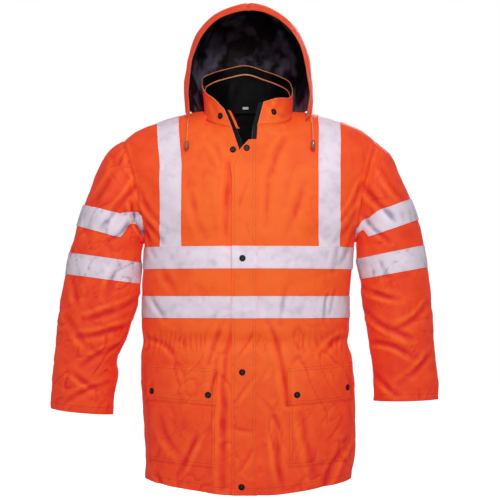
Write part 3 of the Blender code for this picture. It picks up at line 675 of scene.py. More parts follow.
def crease_relief(sheet, creases):
    """How far creases draw the cloth in (-) or push it out (+); their lines wander a little."""
    x = sheet["points"][..., 0] + noise_relief(sheet, WANDER_SIZE, WANDER, 41.2)
    z = sheet["points"][..., 2] + noise_relief(sheet, WANDER_SIZE, WANDER, 47.9)
    swell = 0.85 + noise_relief(sheet, 0.040, 0.8, 53.3)
    turned_front = -sheet["normals"][..., 1]
    relief = np.zeros(x.shape)
    for crease in creases:
        run = np.array([crease.x_low - crease.x_top, crease.z_low - crease.z_top])
        length = np.linalg.norm(run)
        run /= length
        along_it = ((x - crease.x_top) * run[0] + (z - crease.z_top) * run[1]) / length
        share = np.clip(along_it, 0, 1)
        beside = (x - crease.x_top) * run[1] - (z - crease.z_top) * run[0]
        beside -= crease.bow * np.sin(math.pi * share)
        beyond = (along_it - share) * length
        away = np.hypot(beside, beyond) / crease.half_width
        trough = np.clip(TROUGH_REACH - np.sqrt(away ** 2 + TROUGH_ROUND), 0, 1) ** TROUGH_STEEP
        ridge = np.exp(-((away - RIDGE_PLACE) / RIDGE_WIDTH) ** 2) * (beside > 0)
        inner = np.clip(END_SHARE + (1 - 2 * END_SHARE) * share, 0, 1)
        fade = np.sin(math.pi * inner) ** END_STEEP
        facing = 1.0
        if crease.face:
            facing = soft((turned_front * crease.face + FACE_SHIFT) / FACE_RANGE)
        relief -= crease.depth * fade * facing * (CREASE_GAIN * trough - RIDGE_SHARE * ridge)
    return relief * swell


def noise_over(sheet, place_of):
    """A noise value for each grid point, read at the place that place_of gives for it."""
    return np.array([[noise.noise(place_of(*point)) for point in row]
                     for row in sheet["points"]])


def crumple_relief(sheet, size, depth, seed, lean):
    """Short broken creases, finer than those drawn one by one; lean turns them off upright."""
    def place(x, y, z):
        upright = CRUMPLE_STRETCH * (z - lean * x) / size
        return Vector(((x + lean * z) / size + seed, y / size, upright))

    def gap_place(x, y, z):
        return place(x, y, z) * GAP_SCALE + Vector((seed, 5.1, 2.7))

    field = noise_over(sheet, place)
    whole = soft((noise_over(sheet, gap_place) + 0.12) / 0.4)
    line = np.clip(1 - np.abs(field) / LINE_WIDTH, 0, 1) ** 1.4
    crest = np.clip(1 - np.abs(field - CREST_PLACE) / CREST_WIDTH, 0, 1)
    behind = soft((0.2 - sheet["normals"][..., 1]) / 0.5)
    strength = BEHIND_SHARE + (1 - BEHIND_SHARE) * behind
    return depth * strength * whole * (CREST_SHARE * crest - line)


def noise_relief(sheet, size, amount, seed):
    """Slow unevenness of the cloth, the same for pieces that meet."""
    def place(x, y, z):
        return Vector((x / size + seed, y / size - seed, z / size))

    return noise_over(sheet, place) * amount


def uneven(sheet, layers):
    """The sum of several layers of unevenness, each a size, an amount and a seed."""
    return sum(noise_relief(sheet, *layer) for layer in layers)


def blurred(values, ring, reach):
    """Values evened out over a number of cells each way."""
    width = 2 * reach + 1
    for _ in range(2):
        for border in ("edge", "wrap" if ring else "edge"):
            padded = np.pad(values, ((reach, reach), (0, 0)), mode=border)
            values = sum(padded[step:step + len(values)] for step in range(width)) / width
            values = values.T
    return values


def relieved(sheet, drawn, unevenness):
    """The grid moved by its creases and its unevenness, with a note of where its folds lie, for
    the painted shade in their troughs.
    """
    reach = max(1, round(SHADE_REACH / STEP))
    relief = drawn + NOISE_SHARE * unevenness
    hollow = blurred(relief, sheet["ring"], reach) - relief
    made = moved(sheet, drawn + unevenness)
    made["shade"] = np.clip(hollow / SHADE_DEPTH, -1, 1)
    return made


def edge_relief(sheet, edge, depth, width):
    """A groove along one edge of a grid, where it is sewn."""
    points = sheet["points"]
    axis = 0 if edge in ("top", "bottom") else 1
    steps = np.linalg.norm(np.diff(points, axis=axis), axis=2)
    pad = np.zeros_like(np.take(steps, [0], axis=axis))
    distance = np.concatenate([pad, np.cumsum(steps, axis=axis)], axis=axis)
    if edge in ("bottom", "end"):
        distance = np.take(distance, [-1], axis=axis) - distance
    return -depth * np.exp(-(distance / width) ** 2) + 0.5 * depth * np.exp(
        -((distance - 2.2 * width) / width) ** 2)


# ---------------------------------------------------------------- meshes

def mesh_piece(name, vertices, faces, materials, face_materials=None, sharp=50):
    """A smooth-shaded object from points and faces."""
    mesh = bpy.data.meshes.new(name)
    mesh.from_pydata([tuple(vertex) for vertex in vertices], [], faces)
    for material in materials:
        mesh.materials.append(material)
    if face_materials is not None:
        mesh.polygons.foreach_set("material_index", np.asarray(face_materials, dtype=np.int32))
    mesh.shade_smooth()
    mesh.set_sharp_from_angle(angle=math.radians(sharp))
    mesh.update()
    made = bpy.data.objects.new(name, mesh)
    bpy.context.collection.objects.link(made)
    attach(made, "root")
    return made


pieces = {}


def add_cloth(name, sheet, low, high, outside, inside, slot):
    """A closed wall of cloth between two distances from a grid, kept under its node's name."""
    points, normals, ring = sheet["points"], sheet["normals"], sheet["ring"]
    rows, columns = points.shape[:2]
    outer = points + normals * high
    inner = points + normals * low
    size = rows * columns
    index = np.arange(size).reshape(rows, columns)
    if ring:
        index = np.concatenate([index, index[:, :1]], axis=1)
    a, b = index[:-1, :-1], index[:-1, 1:]
    c, d = index[1:, 1:], index[1:, :-1]
    quads = np.stack([a, b, c, d], axis=-1).reshape(-1, 4)
    flipped = quads[:, ::-1]
    front, back = (quads, flipped + size) if sheet["outward"] > 0 else (flipped, quads + size)
    borders = [(index[0], -1), (index[-1], 1)]
    if not ring:
        borders += [(index[:, 0], 1), (index[:, -1], -1)]
    rims = []
    for line, turn in borders:
        rim = np.stack([line[:-1], line[1:], line[1:] + size, line[:-1] + size], axis=-1)
        rims.append(rim[:, ::turn])
    rims = np.concatenate(rims)
    if sheet["outward"] < 0:
        rims = rims[:, ::-1]
    faces = np.concatenate([front, back, rims]).tolist()
    chosen = [0] * len(front) + [1] * len(back) + [0] * len(rims)
    vertices = np.concatenate([outer.reshape(-1, 3), inner.reshape(-1, 3)])
    made = mesh_piece(name + "_cloth", vertices, faces, [outside, inside], chosen)
    # The fold attribute carries the painted shade of the folds, which the materials read to darken
    # the cloth in its troughs
    shade = sheet.get("shade", np.zeros((rows, columns))).reshape(-1)
    fold_shade = made.data.attributes.new("fold", "FLOAT", "POINT")
    if slot == "reflective" and not name.startswith("sleeve"):
        shade = shade * BODY_TAPE_SHADE
    fold_shade.data.foreach_set("value", np.concatenate([shade, shade]).astype(np.float32))
    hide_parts(name)
    pieces[name] = made


def turned(name, place, axis, profile, materials, sides=28, bands=None):
    """A round piece from (radius, height) pairs, closed at both ends."""
    aim = axis.to_track_quat("Z", "Y")
    vertices = []
    for radius, height in profile:
        for number in range(sides):
            turn = math.radians(360) * number / sides
            vertices.append(place + aim @ Vector((radius * math.cos(turn),
                                                  radius * math.sin(turn), height)))
    faces = [tuple(reversed(range(sides)))]
    chosen = [0]
    for ring in range(len(profile) - 1):
        for number in range(sides):
            after = (number + 1) % sides
            faces.append((ring * sides + number, ring * sides + after,
                          (ring + 1) * sides + after, (ring + 1) * sides + number))
            chosen.append(bands[ring] if bands else 0)
    faces.append(tuple(range((len(profile) - 1) * sides, len(profile) * sides)))
    chosen.append(bands[-1] if bands else 0)
    return mesh_piece(name, vertices, faces, materials, chosen, sharp=35)


# ---------------------------------------------------------------- materials

def nodes_of(name):
    """A new material with its node tree and shader."""
    material = bpy.data.materials.new(name)
    material.use_nodes = True
    tree = material.node_tree
    return material, tree, tree.nodes["Principled BSDF"]


def object_place(tree, **mapping):
    """The object's own coordinates, moved, turned or scaled where that is asked for."""
    place = tree.nodes.new("ShaderNodeTexCoord").outputs["Object"]
    if not mapping:
        return place
    fit = tree.nodes.new("ShaderNodeMapping")
    for socket, value in mapping.items():
        fit.inputs[socket].default_value = value
    tree.links.new(place, fit.inputs["Vector"])
    return fit.outputs["Vector"]


def add_noise(tree, scale, detail=3.0):
    """Noise in the object's own space."""
    made = tree.nodes.new("ShaderNodeTexNoise")
    made.inputs["Scale"].default_value = scale
    made.inputs["Detail"].default_value = detail
    tree.links.new(object_place(tree), made.inputs["Vector"])
    return made.outputs["Fac"]


def add_thread(tree, pitch, axis):
    """Fine threads a pitch apart along one axis; along X they are straight, a little wider."""
    mapping = {}
    if axis == "X":
        mapping = {"Scale": (1.0, 0.0, 0.0), "Rotation": (0, 0, math.radians(-30))}
    wave = tree.nodes.new("ShaderNodeTexWave")
    wave.bands_direction = axis
    wave.inputs["Scale"].default_value = math.pi / 10 / pitch
    wave.inputs["Distortion"].default_value = 0.6
    wave.inputs["Detail"].default_value = 0.0
    tree.links.new(object_place(tree, **mapping), wave.inputs["Vector"])
    return wave.outputs["Fac"]


def combine(tree, operation, first, second):
    """Math on two values; either may be a socket or a number."""
    made = tree.nodes.new("ShaderNodeMath")
    made.operation = operation
    for slot, value in zip(made.inputs, (first, second)):
        if isinstance(value, (int, float)):
            slot.default_value = value
        else:
            tree.links.new(value, slot)
    return made.outputs[0]


# Where the colours of a material lie on the value that chooses between them
TWO_TONES = (0.3, 0.7)
THREE_TONES = (0.12, 0.5, 0.88)


def tint(tree, shader, value, colors, places):
    """Base colour through some colours by a value, each at its place."""
    ramp = tree.nodes.new("ShaderNodeValToRGB")
    stops = ramp.color_ramp.elements
    for _ in colors[2:]:
        stops.new(0.5)
    for stop, place, color in zip(stops, places, colors):
        stop.position = place
        stop.color = (*color, 1)
    tree.links.new(value, ramp.inputs["Fac"])
    tree.links.new(ramp.outputs["Color"], shader.inputs["Base Color"])


def bump(tree, shader, height, distance):
    """Bump of a height field, in metres."""
    made = tree.nodes.new("ShaderNodeBump")
    made.inputs["Distance"].default_value = distance
    tree.links.new(height, made.inputs["Height"])
    tree.links.new(made.outputs["Normal"], shader.inputs["Normal"])


def weave(tree, pitch):
    """Height of a plain weave: threads both ways."""
    return combine(tree, "MULTIPLY", add_thread(tree, pitch, "X"), add_thread(tree, pitch, "Z"))


def add_fold_shade(tree, patches, patch_share):
    """Painted fold shade: 0 on a ridge to 1 in a trough, made uneven by patches."""
    fold_shade = tree.nodes.new("ShaderNodeAttribute")
    fold_shade.attribute_name = "fold"
    middle = combine(tree, "MULTIPLY_ADD", fold_shade.outputs["Fac"], 0.5)
    middle.node.inputs[2].default_value = 0.5
    patched = combine(tree, "MULTIPLY_ADD", patches, patch_share)
    patched.node.inputs[2].default_value = -patch_share / 2
    return combine(tree, "ADD", middle, patched)


def add_painted_chest_light(tree):
    """Painted light on the chest: 1 at its middle, down to 0 at its edges."""
    place = object_place(tree, Location=(0.0, 0.18, 0.54), Scale=(3.2, 1.2, 1.7))
    ball = tree.nodes.new("ShaderNodeTexGradient")
    ball.gradient_type = "SPHERICAL"
    tree.links.new(place, ball.inputs["Vector"])
    return ball.outputs["Fac"]


def make_shell():
    """Coated fluorescent orange polyester, with painted light and shade: redder in its folds as
    painted shade, yellower on the chest as a painted pool of light, and a painted red glow.
    """
    material, tree, shader = nodes_of("shell_cloth")
    fold_shade = add_fold_shade(tree, add_noise(tree, 16.0, detail=5.0), 0.40)
    chest_light_and_fold_shade = combine(tree, "MULTIPLY_ADD", add_painted_chest_light(tree), -0.55)
    tree.links.new(fold_shade, chest_light_and_fold_shade.node.inputs[2])
    # The ridge tone is painted light and the trough tone painted shade; the level tone is the
    # cloth's own orange
    ridge, level, trough = (0.440, 0.108, 0.005), (0.400, 0.055, 0.004), (0.290, 0.018, 0.005)
    tint(tree, shader, chest_light_and_fold_shade, (ridge, level, trough), THREE_TONES)
    # The emission is a painted glow that keeps the orange bright in shade, a little weaker in the
    # troughs
    painted_glow = combine(tree, "MULTIPLY_ADD", fold_shade, -0.13)
    painted_glow.node.inputs[2].default_value = 0.44
    tree.links.new(painted_glow, shader.inputs["Emission Strength"])
    shader.inputs["Roughness"].default_value = 0.55
    shader.inputs["Specular IOR Level"].default_value = 0.14
    shader.inputs["Sheen Weight"].default_value = 0.04
    shader.inputs["Sheen Roughness"].default_value = 0.45
    shader.inputs["Sheen Tint"].default_value = (1.0, 0.45, 0.25, 1)
    shader.inputs["Emission Color"].default_value = (1.0, 0.004, 0.030, 1)
    crumple = combine(tree, "MULTIPLY", add_noise(tree, 75.0, detail=2.0), 3.0)
    bump(tree, shader, combine(tree, "ADD", weave(tree, 0.0011), crumple), 0.00016)
    return material


def make_lining(name, dark, light, gloss):
    """Black taffeta; the lighter cool patches of its base colour are a painted sheen."""
    material, tree, shader = nodes_of(name)
    patches = add_noise(tree, 11.0, detail=3.0)
    patches = combine(tree, "ADD", combine(tree, "MULTIPLY", patches, 5.0), -2.0)
    tint(tree, shader, patches, (dark, light), TWO_TONES)
    shader.inputs["Roughness"].default_value = 0.42
    shader.inputs["Specular IOR Level"].default_value = gloss
    shader.inputs["Sheen Weight"].default_value = 0.01
    shader.inputs["Sheen Tint"].default_value = (0.55, 0.50, 0.85, 1)
    crumple = combine(tree, "MULTIPLY", add_noise(tree, 60.0, detail=3.0), 4.0)
    bump(tree, shader, combine(tree, "ADD", weave(tree, 0.0008), crumple), 0.00022)
    return material


def make_reflective():
    """Silver tape with glass beads: pale lilac grey, finely grained, with painted shade that
    darkens it in its folds.
    """
    material, tree, shader = nodes_of("reflective_tape")
    grain = add_noise(tree, 900.0, detail=1.0)
    fold_shade = add_fold_shade(tree, add_noise(tree, 40.0, detail=5.0), 0.50)
    # The trough tone is painted shade and the ridge tone a little painted light
    ridge, level, trough = (0.69, 0.60, 0.68), (0.64, 0.55, 0.63), (0.28, 0.24, 0.34)
    tint(tree, shader, fold_shade, (ridge, level, trough), THREE_TONES)
    shader.inputs["Metallic"].default_value = 0.0
    shader.inputs["Roughness"].default_value = 0.50
    shader.inputs["Specular IOR Level"].default_value = 0.28
    crumple = combine(tree, "MULTIPLY", add_noise(tree, 60.0, detail=3.0), 5.0)
    bump(tree, shader, combine(tree, "ADD", grain, crumple), 0.00012)
    return material


def make_plain(name, color, roughness, metallic=0.0, grain=300.0, depth=0.0001, extra=None):
    """A simple material with a little variation of colour and surface."""
    material, tree, shader = nodes_of(name)
    value = add_noise(tree, grain, detail=2.0)
    dark = tuple(channel * 0.82 for channel in color)
    tint(tree, shader, value, (dark, color), TWO_TONES)
    shader.inputs["Roughness"].default_value = roughness
    shader.inputs["Metallic"].default_value = metallic
    for socket, amount in (extra or {}).items():
        shader.inputs[socket].default_value = amount
    bump(tree, shader, value, depth)
    return material


shell_cloth = make_shell()
lining_cloth = make_lining("lining_cloth", (0.0008, 0.0008, 0.0008),
                           (0.0016, 0.0015, 0.0017), 0.07)
# The hood lining's light tone is a painted bluish sheen
hood_lining_cloth = make_lining("hood_lining_cloth", (0.0020, 0.0018, 0.0020),
                                (0.072, 0.074, 0.112), 0.22)
tape_cloth = make_reflective()
# The binding's emission is a painted glow of the fluorescent orange
binding_cloth = make_plain("binding_cloth", (0.62, 0.20, 0.08), 0.55, extra={
    "Emission Color": (1.0, 0.16, 0.05, 1), "Emission Strength": 0.06})
zip_cloth = make_plain("zip_cloth", (0.004, 0.004, 0.006), 0.7, depth=0.0002, extra={
    "Specular IOR Level": 0.14})
zip_plastic = make_plain("zip_plastic", (0.020, 0.020, 0.026), 0.35)
stud_enamel = make_plain("stud_enamel", (0.0014, 0.0013, 0.0014), 0.50, extra={
    "Specular IOR Level": 0.16})
stud_metal = make_plain("stud_metal", (0.008, 0.0075, 0.008), 0.45, extra={
    "Specular IOR Level": 0.30})
toggle_plastic = make_plain("toggle_plastic", (0.42, 0.085, 0.025), 0.22, grain=120.0, extra={
    "Transmission Weight": 0.25, "Coat Weight": 0.4, "Coat Roughness": 0.1})
label_cloth = make_plain("label_cloth", (0.42, 0.42, 0.43), 0.7)
# The orange thread is real, but its dark colour is painted shade of the stitch grooves
orange_thread_painted_shade = make_plain("orange_thread_painted_shade", (0.13, 0.010, 0.004), 0.7, extra={
    "Specular IOR Level": 0.10})
grey_thread = make_plain("grey_thread", (0.50, 0.46, 0.52), 0.6)


# ---------------------------------------------------------------- camera, light and floor

CAMERA_PLACE = (0.0, -3.008, -0.4236)
FOCAL_LENGTH = 91.0
SHIFT_UP = 46 / 500
FLOOR_HEIGHT = -1.30
ROOM_LIGHT = 0.38
# Place, side length and power of each soft light
LIGHTS = {
    "key": ((0.20, -2.10, 0.75), 0.5, 44.5),
    "fill": ((-1.9, -2.4, 0.1), 1.2, 6.0),
    "rear": ((0.5, 2.4, 0.9), 1.2, 46.0),
}


def make_camera():
    """Level camera in front of the chest."""
    data = bpy.data.cameras.new("camera")
    data.lens = FOCAL_LENGTH
    data.sensor_width = 36.0
    data.shift_y = SHIFT_UP
    camera = bpy.data.objects.new("camera", data)
    camera.location = CAMERA_PLACE
    camera.rotation_euler = (math.radians(90), 0, 0)
    bpy.context.collection.objects.link(camera)
    bpy.context.scene.camera = camera


def area_light(name, place, size, power):
    """A square soft light that looks at the middle of the garment."""
    data = bpy.data.lights.new(name, "AREA")
    data.shape = "SQUARE"
    data.size = size
    data.energy = power
    light = bpy.data.objects.new(name, data)
    light.location = place
    light.visible_camera = False
    aim = Vector((0, 0, -0.35)) - Vector(place)
    light.rotation_euler = aim.to_track_quat("-Z", "Y").to_euler()
    bpy.context.collection.objects.link(light)


def make_studio():
    """White surroundings, a pale floor and soft lights."""
    world = bpy.data.worlds.new("white_room")
    world.use_nodes = True
    tree = world.node_tree
    room = tree.nodes["Background"]
    room.inputs["Color"].default_value = (1, 1, 1, 1)
    room.inputs["Strength"].default_value = ROOM_LIGHT
    backdrop = tree.nodes.new("ShaderNodeBackground")
    backdrop.inputs["Color"].default_value = (1, 1, 1, 1)
    backdrop.inputs["Strength"].default_value = 1.0
    rays = tree.nodes.new("ShaderNodeLightPath")
    seen = tree.nodes.new("ShaderNodeMixShader")
    tree.links.new(rays.outputs["Is Camera Ray"], seen.inputs["Fac"])
    tree.links.new(room.outputs["Background"], seen.inputs[1])
    tree.links.new(backdrop.outputs["Background"], seen.inputs[2])
    tree.links.new(seen.outputs["Shader"], tree.nodes["World Output"].inputs["Surface"])
    bpy.context.scene.world = world
    for name, (place, size, power) in LIGHTS.items():
        area_light(name, place, size, power)
    mesh = bpy.data.meshes.new("floor")
    reach = 9.0
    corners = [(-reach, -reach), (reach, -reach), (reach, reach), (-reach, reach)]
    mesh.from_pydata([(x, y, FLOOR_HEIGHT) for x, y in corners], [], [(0, 1, 2, 3)])
    mesh.materials.append(make_plain("floor_paint", (0.9, 0.9, 0.9), 0.9, grain=1.5, extra={
        "Emission Color": (1, 1, 1, 1), "Emission Strength": 0.9}))
    floor = bpy.data.objects.new("floor", mesh)
    bpy.context.collection.objects.link(floor)
    floor.visible_diffuse = False
    floor.visible_glossy = False
    bpy.context.scene.view_settings.view_transform = "Standard"


make_camera()
make_studio()


# ---------------------------------------------------------------- creases of this garment

FRONT, BACK, ROUND = 1, -1, 0

# Soft troughs drawn on the body: where each starts and ends, half width, depth and bow
BODY_CREASES = [
    # beside the storm flap and across the chest
    Crease(FRONT, -0.047, -0.118, -0.052, -0.306, 0.013, 0.0060, 0.002),
    Crease(FRONT, -0.066, -0.150, -0.060, -0.255, 0.012, 0.0022, 0.003),
    Crease(FRONT, 0.040, -0.130, 0.034, -0.270, 0.014, 0.0028, -0.003),
    Crease(FRONT, 0.085, -0.060, 0.050, -0.150, 0.014, 0.0030, 0.006),
    Crease(FRONT, -0.090, -0.062, -0.060, -0.130, 0.013, 0.0026, -0.005),
    Crease(FRONT, -0.135, -0.170, -0.100, -0.290, 0.016, 0.0022, 0.006),
    Crease(FRONT, 0.120, -0.160, 0.080, -0.285, 0.017, 0.0024, -0.006),
    # from the armholes towards the chest
    Crease(FRONT, -0.262, -0.170, -0.205, -0.262, 0.012, 0.0048, 0.005),
    Crease(FRONT, -0.255, -0.225, -0.200, -0.300, 0.010, 0.0042, 0.004),
    Crease(FRONT, -0.248, -0.262, -0.218, -0.330, 0.010, 0.0034, 0.002),
    Crease(FRONT, 0.262, -0.165, 0.215, -0.250, 0.012, 0.0046, -0.005),
    Crease(FRONT, 0.252, -0.222, 0.190, -0.305, 0.011, 0.0040, -0.004),
    Crease(FRONT, 0.244, -0.268, 0.205, -0.350, 0.010, 0.0034, -0.003),
    # across the tapes
    Crease(FRONT, -0.236, -0.415, -0.196, -0.474, 0.010, 0.0044, 0.002),
    Crease(FRONT, -0.210, -0.335, -0.170, -0.420, 0.014, 0.0020, 0.002),
    Crease(FRONT, 0.178, -0.420, 0.170, -0.480, 0.008, 0.0040, 0.001),
    Crease(FRONT, 0.196, -0.410, 0.182, -0.470, 0.007, 0.0030, 0.001),
    Crease(FRONT, 0.078, -0.405, 0.070, -0.486, 0.011, 0.0022, 0.001),
    Crease(FRONT, 0.205, -0.300, 0.190, -0.372, 0.011, 0.0026, -0.002),
    # below the waist, towards and round the pockets
    Crease(FRONT, -0.235, -0.520, -0.170, -0.560, 0.010, 0.0036, -0.006),
    Crease(FRONT, -0.060, -0.530, -0.085, -0.640, 0.013, 0.0030, 0.004),
    Crease(FRONT, 0.042, -0.480, 0.088, -0.665, 0.013, 0.0050, -0.006),
    Crease(FRONT, -0.058, -0.478, -0.092, -0.572, 0.012, 0.0040, 0.005),
    Crease(FRONT, -0.045, -0.490, -0.064, -0.735, 0.012, 0.0040, 0.004),
    Crease(FRONT, 0.225, -0.515, 0.165, -0.562, 0.010, 0.0036, 0.005),
    Crease(FRONT, -0.168, -0.830, -0.120, -0.742, 0.013, 0.0040, 0.004),
    Crease(FRONT, -0.205, -0.700, -0.150, -0.800, 0.016, 0.0026, 0.006),
    Crease(FRONT, 0.168, -0.868, 0.222, -0.755, 0.014, 0.0052, -0.004),
    Crease(FRONT, 0.118, -0.690, 0.150, -0.830, 0.016, 0.0034, 0.006),
    Crease(FRONT, 0.060, -0.700, 0.075, -0.862, 0.014, 0.0032, 0.004),
    Crease(FRONT, -0.052, -0.640, -0.060, -0.860, 0.014, 0.0038, 0.004),
    Crease(FRONT, -0.215, -0.830, -0.190, -0.872, 0.012, 0.0030, 0.002),
    # the back, looser and simpler
    Crease(BACK, -0.252, -0.170, -0.165, -0.290, 0.015, 0.0050, 0.006),
    Crease(BACK, -0.246, -0.238, -0.175, -0.345, 0.012, 0.0040, 0.004),
    Crease(BACK, 0.256, -0.165, 0.180, -0.270, 0.015, 0.0046, -0.006),
    Crease(BACK, 0.246, -0.235, 0.190, -0.340, 0.012, 0.0040, -0.004),
    Crease(BACK, -0.060, -0.100, -0.085, -0.270, 0.018, 0.0034, 0.006),
    Crease(BACK, 0.070, -0.105, 0.090, -0.290, 0.018, 0.0034, -0.006),
    Crease(BACK, 0.010, -0.380, -0.030, -0.520, 0.016, 0.0028, 0.005),
    Crease(BACK, -0.150, -0.400, -0.110, -0.530, 0.016, 0.0032, 0.005),
    Crease(BACK, 0.155, -0.395, 0.120, -0.525, 0.016, 0.0032, -0.005),
    Crease(BACK, -0.040, -0.560, -0.060, -0.840, 0.022, 0.0046, 0.008),
    Crease(BACK, 0.055, -0.570, 0.060, -0.855, 0.022, 0.0044, -0.008),
    Crease(BACK, -0.190, -0.570, -0.200, -0.800, 0.020, 0.0044, 0.006),
    Crease(BACK, 0.200, -0.560, 0.195, -0.820, 0.020, 0.0046, -0.006),
    Crease(BACK, -0.110, -0.660, -0.150, -0.850, 0.018, 0.0034, 0.006),
    Crease(BACK, 0.120, -0.640, 0.140, -0.850, 0.018, 0.0036, -0.005),
]

SLEEVE_CREASES = {
    "right": [
        Crease(FRONT, -0.262, -0.160, -0.345, -0.262, 0.013, 0.0044, -0.006),
        Crease(FRONT, -0.276, -0.205, -0.240, -0.318, 0.009, 0.0090, 0.003),
        Crease(FRONT, -0.262, -0.232, -0.330, -0.300, 0.010, 0.0040, -0.004),
        Crease(FRONT, -0.300, -0.110, -0.372, -0.215, 0.014, 0.0026, -0.006),
        Crease(FRONT, -0.268, -0.430, -0.385, -0.478, 0.013, 0.0050, -0.008),
        Crease(FRONT, -0.285, -0.488, -0.400, -0.520, 0.012, 0.0046, -0.006),
        Crease(FRONT, -0.300, -0.540, -0.395, -0.590, 0.012, 0.0046, 0.006),
        Crease(FRONT, -0.428, -0.470, -0.350, -0.560, 0.013, 0.0036, 0.006),
        Crease(FRONT, -0.440, -0.575, -0.360, -0.640, 0.012, 0.0036, 0.004),
        Crease(FRONT, -0.330, -0.625, -0.430, -0.672, 0.010, 0.0030, 0.004),
        Crease(FRONT, -0.300, -0.350, -0.330, -0.425, 0.013, 0.0026, 0.004),
        Crease(FRONT, -0.415, -0.385, -0.395, -0.450, 0.012, 0.0024, 0.003),
        Crease(BACK, -0.270, -0.170, -0.350, -0.290, 0.014, 0.0046, -0.006),
        Crease(BACK, -0.275, -0.430, -0.410, -0.500, 0.015, 0.0052, -0.008),
        Crease(BACK, -0.430, -0.450, -0.320, -0.560, 0.014, 0.0044, 0.006),
        Crease(BACK, -0.450, -0.545, -0.340, -0.620, 0.013, 0.0040, 0.006),
        Crease(BACK, -0.330, -0.360, -0.420, -0.420, 0.014, 0.0026, 0.004),
    ],
    "left": [
        Crease(FRONT, 0.262, -0.158, 0.338, -0.250, 0.013, 0.0044, 0.006),
        Crease(FRONT, 0.262, -0.232, 0.322, -0.296, 0.010, 0.0038, 0.004),
        Crease(FRONT, 0.300, -0.112, 0.362, -0.205, 0.014, 0.0026, 0.006),
        Crease(FRONT, 0.262, -0.402, 0.345, -0.428, 0.011, 0.0042, 0.006),
        Crease(FRONT, 0.270, -0.455, 0.375, -0.520, 0.013, 0.0046, 0.008),
        Crease(FRONT, 0.290, -0.530, 0.390, -0.566, 0.012, 0.0040, -0.006),
        Crease(FRONT, 0.420, -0.440, 0.340, -0.500, 0.012, 0.0034, -0.005),
        Crease(FRONT, 0.290, -0.600, 0.345, -0.652, 0.011, 0.0042, 0.004),
        Crease(FRONT, 0.425, -0.560, 0.350, -0.625, 0.012, 0.0036, -0.005),
        Crease(FRONT, 0.300, -0.345, 0.325, -0.400, 0.012, 0.0024, -0.003),
        Crease(BACK, 0.270, -0.170, 0.345, -0.285, 0.014, 0.0046, 0.006),
        Crease(BACK, 0.272, -0.425, 0.395, -0.490, 0.015, 0.0050, 0.008),
        Crease(BACK, 0.415, -0.450, 0.300, -0.555, 0.014, 0.0044, -0.006),
        Crease(BACK, 0.430, -0.545, 0.310, -0.615, 0.013, 0.0038, -0.006),
    ],
}

HOOD_CREASES = [
    Crease(ROUND, 0.110, 0.020, 0.142, 0.120, 0.014, 0.0026, 0.005),
    Crease(BACK, 0.040, 0.060, 0.090, 0.150, 0.017, 0.0040, 0.006),
    Crease(BACK, -0.045, 0.050, -0.095, 0.140, 0.017, 0.0040, -0.006),
    Crease(BACK, 0.020, 0.180, 0.075, 0.225, 0.016, 0.0030, 0.005),
    Crease(BACK, -0.030, 0.170, -0.085, 0.215, 0.016, 0.0032, -0.005),
    Crease(ROUND, -0.120, 0.015, -0.145, 0.110, 0.014, 0.0028, -0.005),
]

FLAP_CREASES = [
    Crease(FRONT, -0.038, -0.722, 0.010, -0.728, 0.007, 0.0030, 0.002),
    Crease(FRONT, -0.028, -0.560, 0.004, -0.505, 0.008, 0.0022, 0.003),
    Crease(FRONT, -0.030, -0.660, 0.006, -0.610, 0.008, 0.0020, -0.003),
    Crease(FRONT, -0.028, -0.820, 0.004, -0.770, 0.008, 0.0020, 0.003),
    Crease(FRONT, -0.004, -0.160, -0.024, -0.220, 0.010, 0.0020, 0.002),
    Crease(FRONT, -0.010, -0.240, 0.004, -0.300, 0.009, 0.0016, 0.002),
]

COLLAR_CREASES = [
    Crease(FRONT, 0.044, 0.018, 0.076, -0.006, 0.009, 0.0024, 0.003),
    Crease(FRONT, 0.072, 0.030, 0.052, -0.020, 0.010, 0.0022, 0.002),
    Crease(FRONT, -0.092, 0.035, -0.070, -0.015, 0.010, 0.0020, -0.002),
    Crease(BACK, -0.030, 0.110, -0.045, 0.050, 0.012, 0.0022, 0.002),
    Crease(BACK, 0.040, 0.105, 0.055, 0.050, 0.012, 0.0022, 0.002),
]


# ---------------------------------------------------------------- the garment's sheets

ARMPIT_LINE = YOKE_STEPS + len(ARMHOLE)
SEAM_DIP = 0.0012       # groove of a seam, and how far from the seam it reaches
SEAM_REACH = 0.0035
NECK_HALF = 0.115       # the shoulder seams have no groove nearer the centre than this
SLACK = {"right": 1.0, "left": 0.6}     # how crumpled each sleeve is
# Size, depth, seed and lean of each layer of crumples
BODY_CRUMPLES = [(0.040, 0.0018, 3.3, 0.5), (0.026, 0.0011, 9.1, -0.7)]
SLEEVE_CRUMPLES = [(0.038, 0.0019, 13.7, 1.1), (0.025, 0.0012, 19.4, -0.66)]
FLAP_CRUMPLE = (0.024, 0.0010, 6.2, 0.9)
# Size, amount and seed of each layer of unevenness
BODY_LAYERS = [(0.085, 0.0026, 3.1), (0.034, 0.0015, 7.9), (0.015, 0.0007, 15.7)]
SLEEVE_LAYERS = [(0.070, 0.0026, 5.3), (0.030, 0.0018, 11.9), (0.015, 0.0007, 15.7)]
COLLAR_LAYERS = [(0.040, 0.0016, 2.2)]
HOOD_LAYERS = [(0.075, 0.0030, 8.8), (0.030, 0.0010, 12.1)]
HOOD_LINING_LAYERS = [(0.055, 0.010, 31.7), (0.022, 0.004, 37.1)]
# Gathers at the waist: level, half height, depth, pitch, and where they run on each side
GATHER_LEVEL = -0.531
GATHER_HEIGHT = 0.026
GATHER_DEPTH = 0.0010
GATHER_PITCH = 0.0125
GATHER_FROM = 0.085
GATHER_TO = 0.245


def top_weight(count):
    """1 at the shoulder of an armhole, down to 0 from its middle height on."""
    number = np.arange(count)
    return (1 - soft((np.minimum(number, AROUND - number) - 2) / 4))[:, None]


